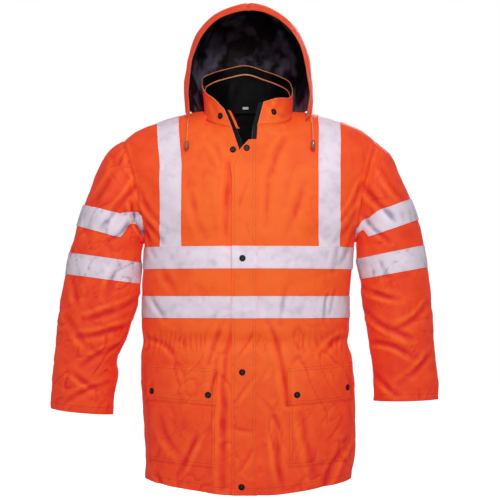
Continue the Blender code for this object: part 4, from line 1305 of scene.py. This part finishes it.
def past_side(side, face, grid, other):
    """Ghost column past the armhole and the side seam, so that the cloth runs on smoothly."""
    beyond = 2 * grid[:, -1] - grid[:, -2]
    cap = np.array(sleeve_grid(side))[1]
    lines = np.arange(ARMPIT_LINE)
    loop = lines if face == "front" else -lines
    weight = top_weight(ARMPIT_LINE)
    first = len(grid) - YOKE_STEPS - len(BODY)
    rows = slice(first, first + ARMPIT_LINE)
    beyond[rows] = cap[loop] * weight + beyond[rows] * (1 - weight)
    beyond[first + ARMPIT_LINE:] = other[ARMPIT_LINE:, -2]
    return np.concatenate([grid, beyond[:, None]], axis=1)


def front_sheet(side):
    """Fine grid of one front, smooth into the back at its shoulder and side seams."""
    front = np.array(body_grid(side, "front"))
    back = np.array(body_grid(side, "back"))
    above = 2 * front[0] - front[1]
    above[len(BACK_NECK):] = back[1, len(BACK_NECK):]
    grid = past_side(side, "front", np.concatenate([above[None], front]), back)
    return finished(refine(grid, cut=(1, 0, 0, 1)), -SIDES[side])


def back_sheet():
    """Fine grid of the back, from the wearer's right side seam to the left."""
    backs = {side: np.array(body_grid(side, "back")) for side in SIDES}
    fronts = {side: np.array(body_grid(side, "front")) for side in SIDES}
    halves = {}
    for side in SIDES:
        above = 2 * backs[side][0] - backs[side][1]
        above[len(BACK_NECK):] = fronts[side][1, len(BACK_NECK):]
        grid = np.concatenate([above[None], backs[side]])
        halves[side] = past_side(side, "back", grid, fronts[side])
    whole = np.concatenate([halves["right"][:, ::-1], halves["left"][:, 1:]], axis=1)
    return finished(refine(whole, cut=(1, 0, 1, 1)), 1)


def waist_gathers(sheet):
    """Short upright gathers where the elastic draws the waist in."""
    x, z = sheet["points"][..., 0], sheet["points"][..., 2]
    level = np.exp(-((z - GATHER_LEVEL) / GATHER_HEIGHT) ** 2)
    spread = soft((np.abs(x) - GATHER_FROM) / 0.03) * soft((GATHER_TO - np.abs(x)) / 0.02)
    wander = noise_relief(sheet, 0.05, 6.0, 21.3)
    strength = np.clip(0.7 + noise_relief(sheet, 0.030, 1.6, 61.7), 0, 1)
    waves = 1 + np.sin(x * 2 * math.pi / GATHER_PITCH + wander)
    return -GATHER_DEPTH * level * spread * strength * waves


def body_relief(sheet, edges):
    """Creases, gathers and seams of the body."""
    drawn = crease_relief(sheet, BODY_CREASES) + waist_gathers(sheet)
    z = sheet["points"][..., 2]
    loose = 0.30 + 0.70 * soft((-0.46 - z) / 0.10)      # looser from the lower tape down
    for crumple in BODY_CRUMPLES:
        drawn += loose * crumple_relief(sheet, *crumple)
    beside_neck = soft((np.abs(sheet["points"][..., 0]) - NECK_HALF) / 0.03)
    for edge in edges:
        dip = edge_relief(sheet, edge, SEAM_DIP, SEAM_REACH)
        drawn += dip * beside_neck if edge == "top" else dip
    return drawn


def meet(sheet, line, row, reach):
    """Draws the rows at one end of a grid onto the edge that it is sewn to."""
    points = sheet["points"]
    edge = points[row]
    starts, ends = line[:-1], line[1:]
    run = ends - starts
    length = np.maximum((run ** 2).sum(axis=1), 1e-12)
    share = np.einsum("pik,ik->pi", edge[:, None] - starts[None], run) / length
    nearest = starts[None] + np.clip(share, 0, 1)[..., None] * run[None]
    distance = np.linalg.norm(nearest - edge[:, None], axis=2)
    closest = nearest[np.arange(len(edge)), distance.argmin(axis=1)]
    shift = closest - edge
    total = len(points)
    for number in range(min(reach, total)):
        at = number if row == 0 else total - 1 - number
        points[at] += shift * (1 - number / reach)
    return finished(sheet, sheet["outward"])


def sleeve_sheet(side, armhole):
    """Fine grid of a sleeve, from its armhole to the cuff."""
    grid = np.array(sleeve_grid(side))
    low = ARMPIT_LINE
    before = np.array(body_grid(side, "front"))[:low + 1, -2]
    behind = np.array(body_grid(side, "back"))[1:low, -2]
    weight = top_weight(AROUND)
    above = np.concatenate([before, behind[::-1]]) * weight
    above += (2 * grid[0] - grid[1]) * (1 - weight)
    grid = np.concatenate([above[None], grid])
    sheet = finished(refine(grid, ring=True, cut=(1, 0, 0, 0)), SIDES[side])
    drawn = crease_relief(sheet, SLEEVE_CREASES[side])
    for size, depth, seed, lean in SLEEVE_CRUMPLES:
        drawn += SLACK[side] * crumple_relief(sheet, size, depth, seed, lean * SIDES[side])
    drawn += edge_relief(sheet, "top", SEAM_DIP, SEAM_REACH)
    return meet(relieved(sheet, drawn, uneven(sheet, SLEEVE_LAYERS)), armhole, 0, 6)


def edge_line(sheet, column, rows=None):
    """Points down one column of a grid."""
    points = sheet["points"][:, column]
    return points if rows is None else points[:sheet["rows"][rows] + 1]


body = {"front_" + side: front_sheet(side) for side in SIDES}
body["back"] = back_sheet()
for name, sheet in body.items():
    edges = ("top", "start", "end") if name == "back" else ("top", "end")
    body[name] = relieved(sheet, body_relief(sheet, edges), uneven(sheet, BODY_LAYERS))

sleeves = {}
for side in SIDES:
    behind = edge_line(body["back"], 0 if side == "right" else -1, ARMPIT_LINE)
    before = edge_line(body["front_" + side], -1, ARMPIT_LINE)
    sleeves[side] = sleeve_sheet(side, np.concatenate([before, behind[::-1]]))


def neck_line():
    """The neckline from the right front edge round the back to the left front edge."""
    right = body["front_right"]
    left = body["front_left"]
    back = body["back"]
    centre = COLUMNS
    first, last = back["columns"][centre - 3], back["columns"][centre + 3]
    return np.concatenate([
        right["points"][0, :right["columns"][3] + 1],
        back["points"][0, first:last + 1],
        left["points"][0, :left["columns"][3] + 1][::-1],
    ])


def collar_sheet():
    """Fine grid of the collar, from its top edge to the neckline."""
    sheet = finished(refine(collar_grid()), 1)
    drawn = crease_relief(sheet, COLLAR_CREASES)
    drawn += edge_relief(sheet, "bottom", SEAM_DIP, SEAM_REACH)
    return meet(relieved(sheet, drawn, uneven(sheet, COLLAR_LAYERS)), neck_line(), -1, 5)


collar = collar_sheet()


def hood_sheet(side):
    """Fine grid of half the hood, smooth over the centre seam."""
    half = np.array(hood_grid(side))
    other = np.array(hood_grid("left" if side == "right" else "right"))
    grid = np.concatenate([half, other[:, -2:-1]], axis=1)
    sheet = finished(refine(grid, cut=(0, 0, 0, 1)), -SIDES[side])
    drawn = crease_relief(sheet, HOOD_CREASES)
    drawn += edge_relief(sheet, "end", SEAM_DIP, SEAM_REACH)
    return closed_at_centre(relieved(sheet, drawn, uneven(sheet, HOOD_LAYERS)))


def closed_at_centre(sheet):
    """Keeps the last column of half the hood in the middle plane."""
    sheet["points"][:, -1, 0] = HOOD_SHIFT
    sheet = finished(sheet, sheet["outward"])
    sheet["normals"][:, -1, 0] = 0
    sheet["normals"] = unit(sheet["normals"])
    return sheet


hood = {side: hood_sheet(side) for side in SIDES}


# ---------------------------------------------------------------- shells, linings and tapes

def add_shell(name, sheet):
    """One panel of the orange shell, lined inside."""
    add_cloth(name, sheet, -SHELL, 0.0, shell_cloth, lining_cloth, "shell")


for name, sheet in body.items():
    add_shell(name, sheet)
for side in SIDES:
    add_shell("sleeve_" + side, sleeves[side])
    add_shell("hood_" + side, hood[side])
add_shell("collar", collar)

# Under the collar's right end the front panel turns over on itself, and its inner face showed
# as a black sliver: the inner faces within this reach of the place are coloured orange
TUCK = Vector((-0.1024, -0.0800, -0.0205))
TUCK_REACH = 0.020
for face in pieces["front_right"].data.polygons:
    if (face.center - TUCK).length < TUCK_REACH:
        face.material_index = 0

# Linings of the collar, the nape and the hood. The collar's hangs a little lower behind
LINING_MARGIN = 0.0012
LINING_DROP = 0.006
inside = -SHELL - LAP
lined_collar = drawn_in(dict(collar, points=collar["points"].copy()), LINING_MARGIN)
behind_neck = soft((lined_collar["points"][-1][:, 1] + 0.01) / 0.03)
lined_collar["points"][-1, :, 2] -= LINING_DROP * behind_neck
add_cloth("collar_lining", lined_collar, inside - LINING, inside,
          lining_cloth, lining_cloth, "lining")
nape = piece_of(body["back"], (0, YOKE_STEPS + LEVEL["mid_armhole"]), (COLUMNS - 5, COLUMNS + 5))
add_cloth("back_lining", nape, inside - LINING, inside, lining_cloth, lining_cloth, "lining")

HOOD_FACING = {"top": 0.011, "side": 0.004}


def hood_lining(side):
    """Lining of half the hood: it starts behind the orange facing and hangs in folds."""
    sheet = hood[side]
    points = sheet["points"].copy()
    height = np.linspace(0, 1, points.shape[1])
    facing = HOOD_FACING["side"] + (HOOD_FACING["top"] - HOOD_FACING["side"]) * height ** 3
    onward = unit(points[3] - points[0])
    for row in range(4):
        points[row] += onward * facing[:, None] * (1 - row / 4)
    lined = finished(dict(sheet, points=points), sheet["outward"])
    slack = uneven(lined, HOOD_LINING_LAYERS)
    depth = soft(np.arange(points.shape[0]) / 8)[:, None]
    return closed_at_centre(moved(lined, -np.abs(slack) * depth - 0.0004))


for side in SIDES:
    add_cloth("hood_lining_" + side, hood_lining(side), inside - LINING, inside,
              hood_lining_cloth, hood_lining_cloth, "lining")


def flap_sheet():
    """Storm flap, bowed a little off the front towards its free edge."""
    sheet = finished(refine(flap_grid()), -1)
    x, z = sheet["points"][..., 0], sheet["points"][..., 2]
    free = soft((FLAP_SEWN - 0.012 - x) / (FLAP_SEWN - FLAP_FREE))
    lift = 0.0016 * free * (1 + np.sin(z * 2 * math.pi / 0.19 + 0.8))
    drawn = crease_relief(sheet, FLAP_CREASES) + crumple_relief(sheet, *FLAP_CRUMPLE)
    return relieved(sheet, drawn, uneven(sheet, BODY_LAYERS) + lift)


flap = flap_sheet()
flap_base = FLAP_LIFT + 0.0006
add_cloth("storm_flap", flap, flap_base, flap_base + SHELL, shell_cloth, shell_cloth, "shell")
flap_top = flap_base + SHELL

# How far a tape lies off its cloth. The upper sleeve tapes are further off, because the
# creased sleeve came through them
TAPE_GAP = 0.0003
SLEEVE_TAPE_GAP = 0.0014


def tape_low(name):
    """How far the back of a tape lies off its sheet's grid."""
    if name.endswith("flap"):
        return flap_top + TAPE_GAP
    return SLEEVE_TAPE_GAP if "sleeve_band_1" in name else TAPE_GAP


tape_sheets = {}
for number in (1, 2):
    first = YOKE_STEPS + LEVEL[f"band_{number}_top"]
    for name, sheet in body.items():
        columns = (0, len(sheet["columns"]) - 1)
        tape_sheets[f"band_{number}_{name}"] = piece_of(sheet, (first, first + 1), columns)
    first += len(FLAP_TOP) - YOKE_STEPS
    tape_sheets[f"band_{number}_flap"] = piece_of(flap, (first, first + 1), (0, FLAP_COLUMNS))


def brace_sheet(side):
    """Brace from the upper band over the shoulder to the upper band behind."""
    last = YOKE_STEPS + LEVEL["band_1_top"]
    front = piece_of(body["front_" + side], (0, last), BRACE_COLUMNS)
    first, second = BRACE_COLUMNS
    columns = (COLUMNS + first, COLUMNS + second)
    if side == "right":
        columns = (COLUMNS - second, COLUMNS - first)
    back = piece_of(body["back"], (0, last), columns)
    count = min(front["points"].shape[1], back["points"].shape[1])
    made = {"ring": False, "outward": 1}
    for key in GRIDS:
        before = evened(front[key], count)
        if side == "right":
            before = before[:, ::-1]
        made[key] = np.concatenate([before[::-1], evened(back[key], count)[1:]])
    made["normals"] = unit(made["normals"])
    return made


def evened(values, count):
    """A grid's columns brought to a given count."""
    places = np.linspace(0, values.shape[1] - 1, count)
    low = np.minimum(places.astype(int), values.shape[1] - 2)
    share = (places - low)[None, :]
    if values.ndim == 3:
        share = share[..., None]
    return values[:, low] * (1 - share) + values[:, low + 1] * share


def sample(sheet, rows, columns):
    """Points and normals of a grid at fractional coarse rows and columns."""
    row = np.interp(rows, range(len(sheet["rows"])), sheet["rows"])
    spans = len(sheet["columns"]) - 1
    turns = np.floor(columns / spans) if sheet["ring"] else 0
    column = np.interp(columns - turns * spans, range(spans + 1), sheet["columns"])
    total = sheet["points"].shape[1]
    r = np.clip(row.astype(int), 0, sheet["points"].shape[0] - 2)
    c = column.astype(int) if sheet["ring"] else np.clip(column.astype(int), 0, total - 2)
    values = {}
    for key in GRIDS:
        grid = sheet[key]
        down, across = row - r, column - c
        if grid.ndim == 3:
            down, across = down[..., None], across[..., None]
        upper = mix(grid[r, c % total], grid[r, (c + 1) % total], across)
        lower = mix(grid[r + 1, c % total], grid[r + 1, (c + 1) % total], across)
        values[key] = mix(upper, lower, down)
    values["normals"] = unit(values["normals"])
    return values | {"ring": False, "outward": sheet["outward"]}


# Upper sleeve tape: it goes round at an even height up to this column on each side, and from
# there its two edges run to the armhole seam at these columns
TAPE_LEVEL_TO = {"right": 5.0, "left": 5.8}
TAPE_MEETS = {"right": (6.75, 7.9), "left": (7.35, 8.0)}


def upper_sleeve_tape(side):
    """Upper tape of a sleeve, from the armhole in front to the armhole behind."""
    sleeve = sleeves[side]
    count = 84
    place = np.linspace(-1, 1, count)
    past = np.clip((np.abs(place) - 0.7) / 0.3, 0, 1)
    level_to = TAPE_LEVEL_TO[side]
    level = np.sign(place) * np.minimum(np.abs(place) / 0.7, 1) * level_to
    edges = []
    for meets, row in zip(TAPE_MEETS[side], (RING["tape_1_top"], RING["tape_1_bottom"])):
        edges.append((row * (1 - past ** 1.4), level + np.sign(place) * (meets - level_to) * past))
    down = np.linspace(0, 1, 11)[:, None]
    rows = mix(edges[0][0][None], edges[1][0][None], down)
    columns = mix(edges[0][1][None], edges[1][1][None], down)
    return sample(sleeve, rows, columns)


for side in SIDES:
    tape_sheets["brace_" + side] = brace_sheet(side)
    tape_sheets["sleeve_band_1_" + side] = upper_sleeve_tape(side)
    rows = (RING["tape_2_top"], RING["tape_2_bottom"])
    tape_sheets["sleeve_band_2_" + side] = piece_of(sleeves[side], rows, None)
for name, sheet in tape_sheets.items():
    low = tape_low(name)
    add_cloth(name, sheet, low, low + TAPE, tape_cloth, tape_cloth, "reflective")


# ---------------------------------------------------------------- pockets

POCKET_TOP = YOKE_STEPS + LEVEL["pocket_top"]
POCKET_MARGIN = 0.0015  # the bag is this much smaller than the grid's cells, the flap larger
POCKET_PUFF = 0.0030    # how far their middles stand off
# Name, last level, margin, and distance off the front, of the patch bag and its flap
POCKET_PARTS = [
    ("pocket_", "bag_bottom", POCKET_MARGIN, 0.0002),
    ("pocket_flap_", "flap_bottom", -POCKET_MARGIN, 0.0042),
]
pocket_sheets = {}


def puffed_part(sheet, rows, margin):
    """Part of a front for a pocket, its middle standing off by a little."""
    part = piece_of(sheet, rows, POCKET_COLUMNS, margin)
    down = np.linspace(0, 1, part["points"].shape[0])[:, None]
    side = np.linspace(0, 1, part["points"].shape[1])[None, :]
    swell = (np.sin(math.pi * down) * np.sin(math.pi * side)) ** 0.6
    part["points"] = part["points"] + part["normals"] * (swell * POCKET_PUFF)[..., None]
    return finished(part, part["outward"])


for side in SIDES:
    for name, lowest, margin, lift in POCKET_PARTS:
        rows = (POCKET_TOP, YOKE_STEPS + LEVEL[lowest])
        sheet = puffed_part(body["front_" + side], rows, margin)
        pocket_sheets[name + side] = (sheet, lift + SHELL)
        add_cloth(name + side, sheet, lift, lift + SHELL, shell_cloth, shell_cloth, "shell")


# ---------------------------------------------------------------- zip, piping and stitches

def tube(name, route, radius, material, sides=8, lobes=0, twist=0.0):
    """A closed round mesh along a route; lobes and twist give it the strands of a cord."""
    route = np.array(route)
    tangents = unit(np.gradient(route, axis=0))
    side = unit(np.cross(tangents[0], (0.3, 0.9, 0.2)))
    vertices = []
    travelled = 0.0
    for number, (place, tangent) in enumerate(zip(route, tangents)):
        if number:
            travelled += np.linalg.norm(place - route[number - 1])
        side = unit(side - tangent * side.dot(tangent))
        other = np.cross(tangent, side)
        for index in range(sides):
            turn = math.radians(360) * index / sides
            reach = radius
            if lobes:
                reach *= 0.80 + 0.20 * abs(math.cos(lobes / 2 * (turn + travelled * twist)))
            vertices.append(place + (side * math.cos(turn) + other * math.sin(turn)) * reach)
    faces = [tuple(reversed(range(sides)))]
    for ring in range(len(route) - 1):
        for index in range(sides):
            after = (index + 1) % sides
            faces.append((ring * sides + index, ring * sides + after,
                          (ring + 1) * sides + after, (ring + 1) * sides + index))
    faces.append(tuple(range((len(route) - 1) * sides, len(route) * sides)))
    made = mesh_piece(name, vertices, faces, [material])
    return made


def read_along(places, travelled, values):
    """Points or directions at some distances travelled along a line."""
    return np.stack([np.interp(places, travelled, values[:, axis]) for axis in range(3)], axis=-1)


def resampled(line, normals, pitch):
    """Points, normals and directions a pitch apart along a line."""
    steps = np.linalg.norm(np.diff(line, axis=0), axis=1)
    travelled = np.concatenate([[0], np.cumsum(steps)])
    places = np.arange(pitch / 2, travelled[-1], pitch)
    ahead = read_along(places + pitch / 3, travelled, line)
    behind = read_along(places - pitch / 3, travelled, line)
    points = read_along(places, travelled, line)
    return points, unit(read_along(places, travelled, normals)), unit(ahead - behind)


STITCH = {"pitch": 0.0034, "length": 0.0030, "width": 0.00075, "height": 0.00045}


def stitches(name, lines, material, pitch=STITCH["pitch"]):
    """Rows of sewn stitches, each a small lozenge that lies on the cloth."""
    vertices = []
    faces = []
    for line, normals in lines:
        points, facing, direction = resampled(line, normals, pitch)
        across = np.cross(facing, direction)
        for place, up, along_it, beside in zip(points, facing, direction, across):
            first = len(vertices)
            half = along_it * STITCH["length"] / 2
            wide = beside * STITCH["width"] / 2
            high = up * STITCH["height"]
            vertices += [place - half, place + half, place + wide, place + high,
                         place - wide, place - high * 0.5]
            for one, other in ((2, 3), (3, 4), (4, 5), (5, 2)):
                faces += [(first, first + other, first + one),
                          (first + 1, first + one, first + other)]
    made = mesh_piece(name, vertices, faces, [material], sharp=70)
    return made


def beside_edge(sheet, edge, distance, high):
    """A line along one edge of a grid, a distance in from it, and its normals."""
    points, normals = sheet["points"], sheet["normals"]
    if edge in ("start", "end"):
        points, normals = points.transpose(1, 0, 2), normals.transpose(1, 0, 2)
    if edge in ("bottom", "end"):
        points, normals = points[::-1], normals[::-1]
    steps = np.linalg.norm(np.diff(points, axis=0), axis=2)
    travelled = np.concatenate([np.zeros((1, steps.shape[1])), np.cumsum(steps, axis=0)])
    line = np.empty((points.shape[1], 3))
    facing = np.empty((points.shape[1], 3))
    for column in range(points.shape[1]):
        line[column] = read_along(distance, travelled[:, column], points[:, column])
        facing[column] = read_along(distance, travelled[:, column], normals[:, column])
    if sheet["ring"]:
        line = np.concatenate([line, line[:1]])
        facing = np.concatenate([facing, facing[:1]])
    facing = unit(facing)
    return line + facing * high, facing


# Distances of the stitch rows from the edges that they follow
HEM_FOLD = 0.017
CUFF_FOLD = 0.016
TAPE_MARGIN = 0.0028
FLAP_ROWS = {"start": (0.0060,), "end": (0.0030, 0.0090), "bottom": (HEM_FOLD,)}
COLLAR_SEAMS = {"top": 0.0045, "bottom": 0.004}
HOOD_ROWS = (0.004, 0.024)
SEAM_ROW = 0.004
CAP_ROW = 0.0045
POCKET_ROWS = (0.0025, 0.0085)
POCKET_EDGES = {"pocket_": ("start", "end", "bottom"),
                "pocket_flap_": ("top", "start", "end", "bottom")}

shell_lines = [beside_edge(body[name], "bottom", HEM_FOLD, 0.0) for name in body]
shell_lines += [beside_edge(sleeves[side], "bottom", CUFF_FOLD, 0.0) for side in SIDES]
for edge, distances in FLAP_ROWS.items():
    shell_lines += [beside_edge(flap, edge, distance, flap_top) for distance in distances]
for edge, distance in COLLAR_SEAMS.items():
    shell_lines += [beside_edge(collar, edge, distance, 0.0)]
for side in SIDES:
    shell_lines += [beside_edge(hood[side], "top", distance, 0.0) for distance in HOOD_ROWS]
    shell_lines += [beside_edge(hood[side], "end", SEAM_ROW, 0.0)]
    shell_lines += [beside_edge(sleeves[side], "top", CAP_ROW, 0.0)]
    for name, edges in POCKET_EDGES.items():
        sheet, high = pocket_sheets[name + side]
        shell_lines += [beside_edge(sheet, edge, distance, high)
                        for distance in POCKET_ROWS for edge in edges]
stitches("shell_stitches", shell_lines, orange_thread_painted_shade)

tape_lines = []
for name, sheet in tape_sheets.items():
    low = tape_low(name)
    long_edges = ("start", "end") if name.startswith("brace") else ("top", "bottom")
    tape_lines += [beside_edge(sheet, edge, TAPE_MARGIN, low + TAPE) for edge in long_edges]
stitches("tape_stitches", tape_lines, grey_thread)


def front_edge_strip(side, reaches):
    """A strip past the front edge, down the collar and then the front."""
    front = body["front_" + side]["points"]
    upper = collar["points"] if side == "right" else collar["points"][:, ::-1]
    edge = np.concatenate([upper[:, 0], front[1:, 0]])
    near = np.concatenate([upper[:, 2], front[1:, 2]])
    onward = edge - near
    onward[:, 2] *= 0.3
    onward = unit(onward)
    for _ in range(6):
        onward[1:-1] = unit(onward[:-2] + onward[1:-1] * 2 + onward[2:])
    points = np.stack([edge + onward * reach for reach in reaches], axis=1)
    return finished({"points": points, "ring": False}, SIDES[side])


TOOTH = {"pitch": 0.0026, "length": 0.0015, "width": 0.0028, "height": 0.0020, "drop": 0.001}


def zip_teeth(side, strip):
    """Moulded teeth along the inner edge of a zip tape."""
    edge = strip["points"][:, -1]
    inward = unit(strip["points"][:, -1] - strip["points"][:, -2])
    points, facing, direction = resampled(edge, strip["normals"][:, -1], TOOTH["pitch"])
    _, reach, _ = resampled(edge, inward, TOOTH["pitch"])
    vertices = []
    faces = []
    for place, up, along_it, beside in zip(points, facing, direction, reach):
        first = len(vertices)
        for high, narrow in ((-0.5, 1.0), (0.5, 0.7)):
            for forward, wide in ((-1, -1), (1, -1), (0.6, 1), (-0.6, 1)):
                vertices.append(place - up * TOOTH["drop"] + up * high * TOOTH["height"]
                                + along_it * forward * narrow * TOOTH["length"] / 2
                                + beside * wide * narrow * TOOTH["width"] / 2)
        faces += [(first, first + 1, first + 2, first + 3),
                  (first + 7, first + 6, first + 5, first + 4)]
        for index in range(4):
            after = (index + 1) % 4
            faces.append((first + index, first + index + 4, first + after + 4, first + after))
    made = mesh_piece("zip_teeth_" + side, vertices, faces, [zip_plastic], sharp=30)


# The zip's tape starts this far inside the front edge, and lies this far under the shell
ZIP_HIDDEN = 0.004
ZIP_GAP = 0.0004
tape_reaches = np.linspace(-ZIP_HIDDEN, ZIP_TAPE[-1], 4)
for side in SIDES:
    strip = front_edge_strip(side, tape_reaches)
    add_cloth("zip_tape_" + side, strip, -SHELL - TAPE - ZIP_GAP, -SHELL - ZIP_GAP,
              zip_cloth, zip_cloth, "zip")
    zip_teeth(side, strip)
guard = front_edge_strip("right", ZIP_GUARD)
guard = {"points": guard["points"][:collar["points"].shape[0]],
         "normals": guard["normals"][:collar["points"].shape[0]], "ring": False, "outward": -1}
add_cloth("zip_guard", guard, -TAPE - LAP, -LAP, shell_cloth, shell_cloth, "shell")


PIPING_RADIUS = 0.00095
PIPING_DEPTH = 0.0010   # behind the collar's outer face
BINDING_DEPTH = 0.0042

middle_line = collar["points"] - collar["normals"] * PIPING_DEPTH
piping_route = np.concatenate([middle_line[::-1, 0], middle_line[0, 1:-1], middle_line[:, -1]])
tube("collar_piping", piping_route, PIPING_RADIUS, binding_cloth)
binding = finished(refine(collar_binding()), 1)
binding["points"] = binding["points"] - binding["normals"] * BINDING_DEPTH
add_cloth("collar_binding", binding, -TAPE, 0.0, binding_cloth, binding_cloth, "binding")

label_rows = np.linspace(0.5, -0.5, 4) * LABEL_SIZE[1]
label_columns = np.linspace(-0.5, 0.5, 6) * LABEL_SIZE[0]
label_points = np.array([[tuple(LABEL_PLACE + Vector((x, -0.0015 - 4 * x * x, z)))
                          for x in label_columns] for z in label_rows])
add_cloth("label", finished({"points": label_points, "ring": False}, -1), 0.0, 0.0005,
          label_cloth, label_cloth, "label")


# ---------------------------------------------------------------- studs, cords and toggles

def surface_tree(names):
    """Every face of some pieces, for finding where a stud stands."""
    vertices = []
    faces = []
    for name in names:
        mesh = pieces[name].data
        first = len(vertices)
        vertices += [vertex.co for vertex in mesh.vertices]
        faces += [[first + index for index in face.vertices] for face in mesh.polygons]
    return BVHTree.FromPolygons(vertices, faces)


front_names = ["front_right", "front_left", "collar", "storm_flap", "band_1_flap",
               "pocket_right", "pocket_left", "pocket_flap_right", "pocket_flap_left"]
front_tree = surface_tree(front_names)

STUD_PROFILE = [(0.90, -0.10), (1.00, 0.10), (1.00, 0.34), (0.94, 0.56), (0.80, 0.74),
                (0.62, 0.80), (0.50, 0.70), (0.40, 0.70), (0.34, 0.86), (0.14, 0.98)]
STUD_METAL_FROM = 6


def stud(place):
    """Press stud: a black enamelled cap with a metal middle."""
    spot = None
    normal = Vector((0, 0, 0))
    for x, z in ((0, 0), (0.005, 0), (-0.005, 0), (0, 0.005), (0, -0.005)):
        start = Vector((place.x + x, -1, place.z + z))
        hit, facing, _, _ = front_tree.ray_cast(start, Vector((0, 1, 0)))
        if hit:
            normal += facing
            if spot is None or (x, z) == (0, 0):
                spot = hit
    normal.normalize()
    profile = [(radius * STUD_RADIUS, height * STUD_HEIGHT) for radius, height in STUD_PROFILE]
    bands = [0 if number < STUD_METAL_FROM else 1 for number in range(len(profile))]
    made = turned("stud_" + place.name + "_cap", spot, normal, profile,
                  [stud_enamel, stud_metal], bands=bands)
    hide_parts("stud_" + place.name)


for place in STUDS:
    stud(place)

TOGGLE_PROFILE = [(0.0022, -0.02), (0.0034, 0.0), (0.0046, 0.06), (0.0056, 0.16), (0.0061, 0.34),
                  (0.0062, 0.52), (0.0058, 0.72), (0.0050, 0.88), (0.0040, 0.96), (0.0024, 1.0)]
CORD_TWIST = 900.0

for side, sign in SIDES.items():
    places = [CordPoint(sign * point.x, point.y, point.z) for point in CORD]
    route = smooth_route(places, 0.0012)
    made = tube("drawcord_" + side + "_braid", route, CORD_RADIUS, binding_cloth,
                sides=14, lobes=3, twist=CORD_TWIST)
    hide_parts("drawcord_" + side)
    profile = [(radius, height * TOGGLE_LENGTH) for radius, height in TOGGLE_PROFILE]
    toggle = turned("toggle_" + side + "_barrel", route[-1] + Vector((0, 0, -LAP)),
                    Vector((0, 0, -1)), profile, [toggle_plastic])
    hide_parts("toggle_" + side)


# ---------------------------------------------------------------- what the cloth is cut to

# Width, length and area of each piece as it is cut, and the names of what is sewn onto it
Cut = namedtuple("Cut", "piece width length area carries")
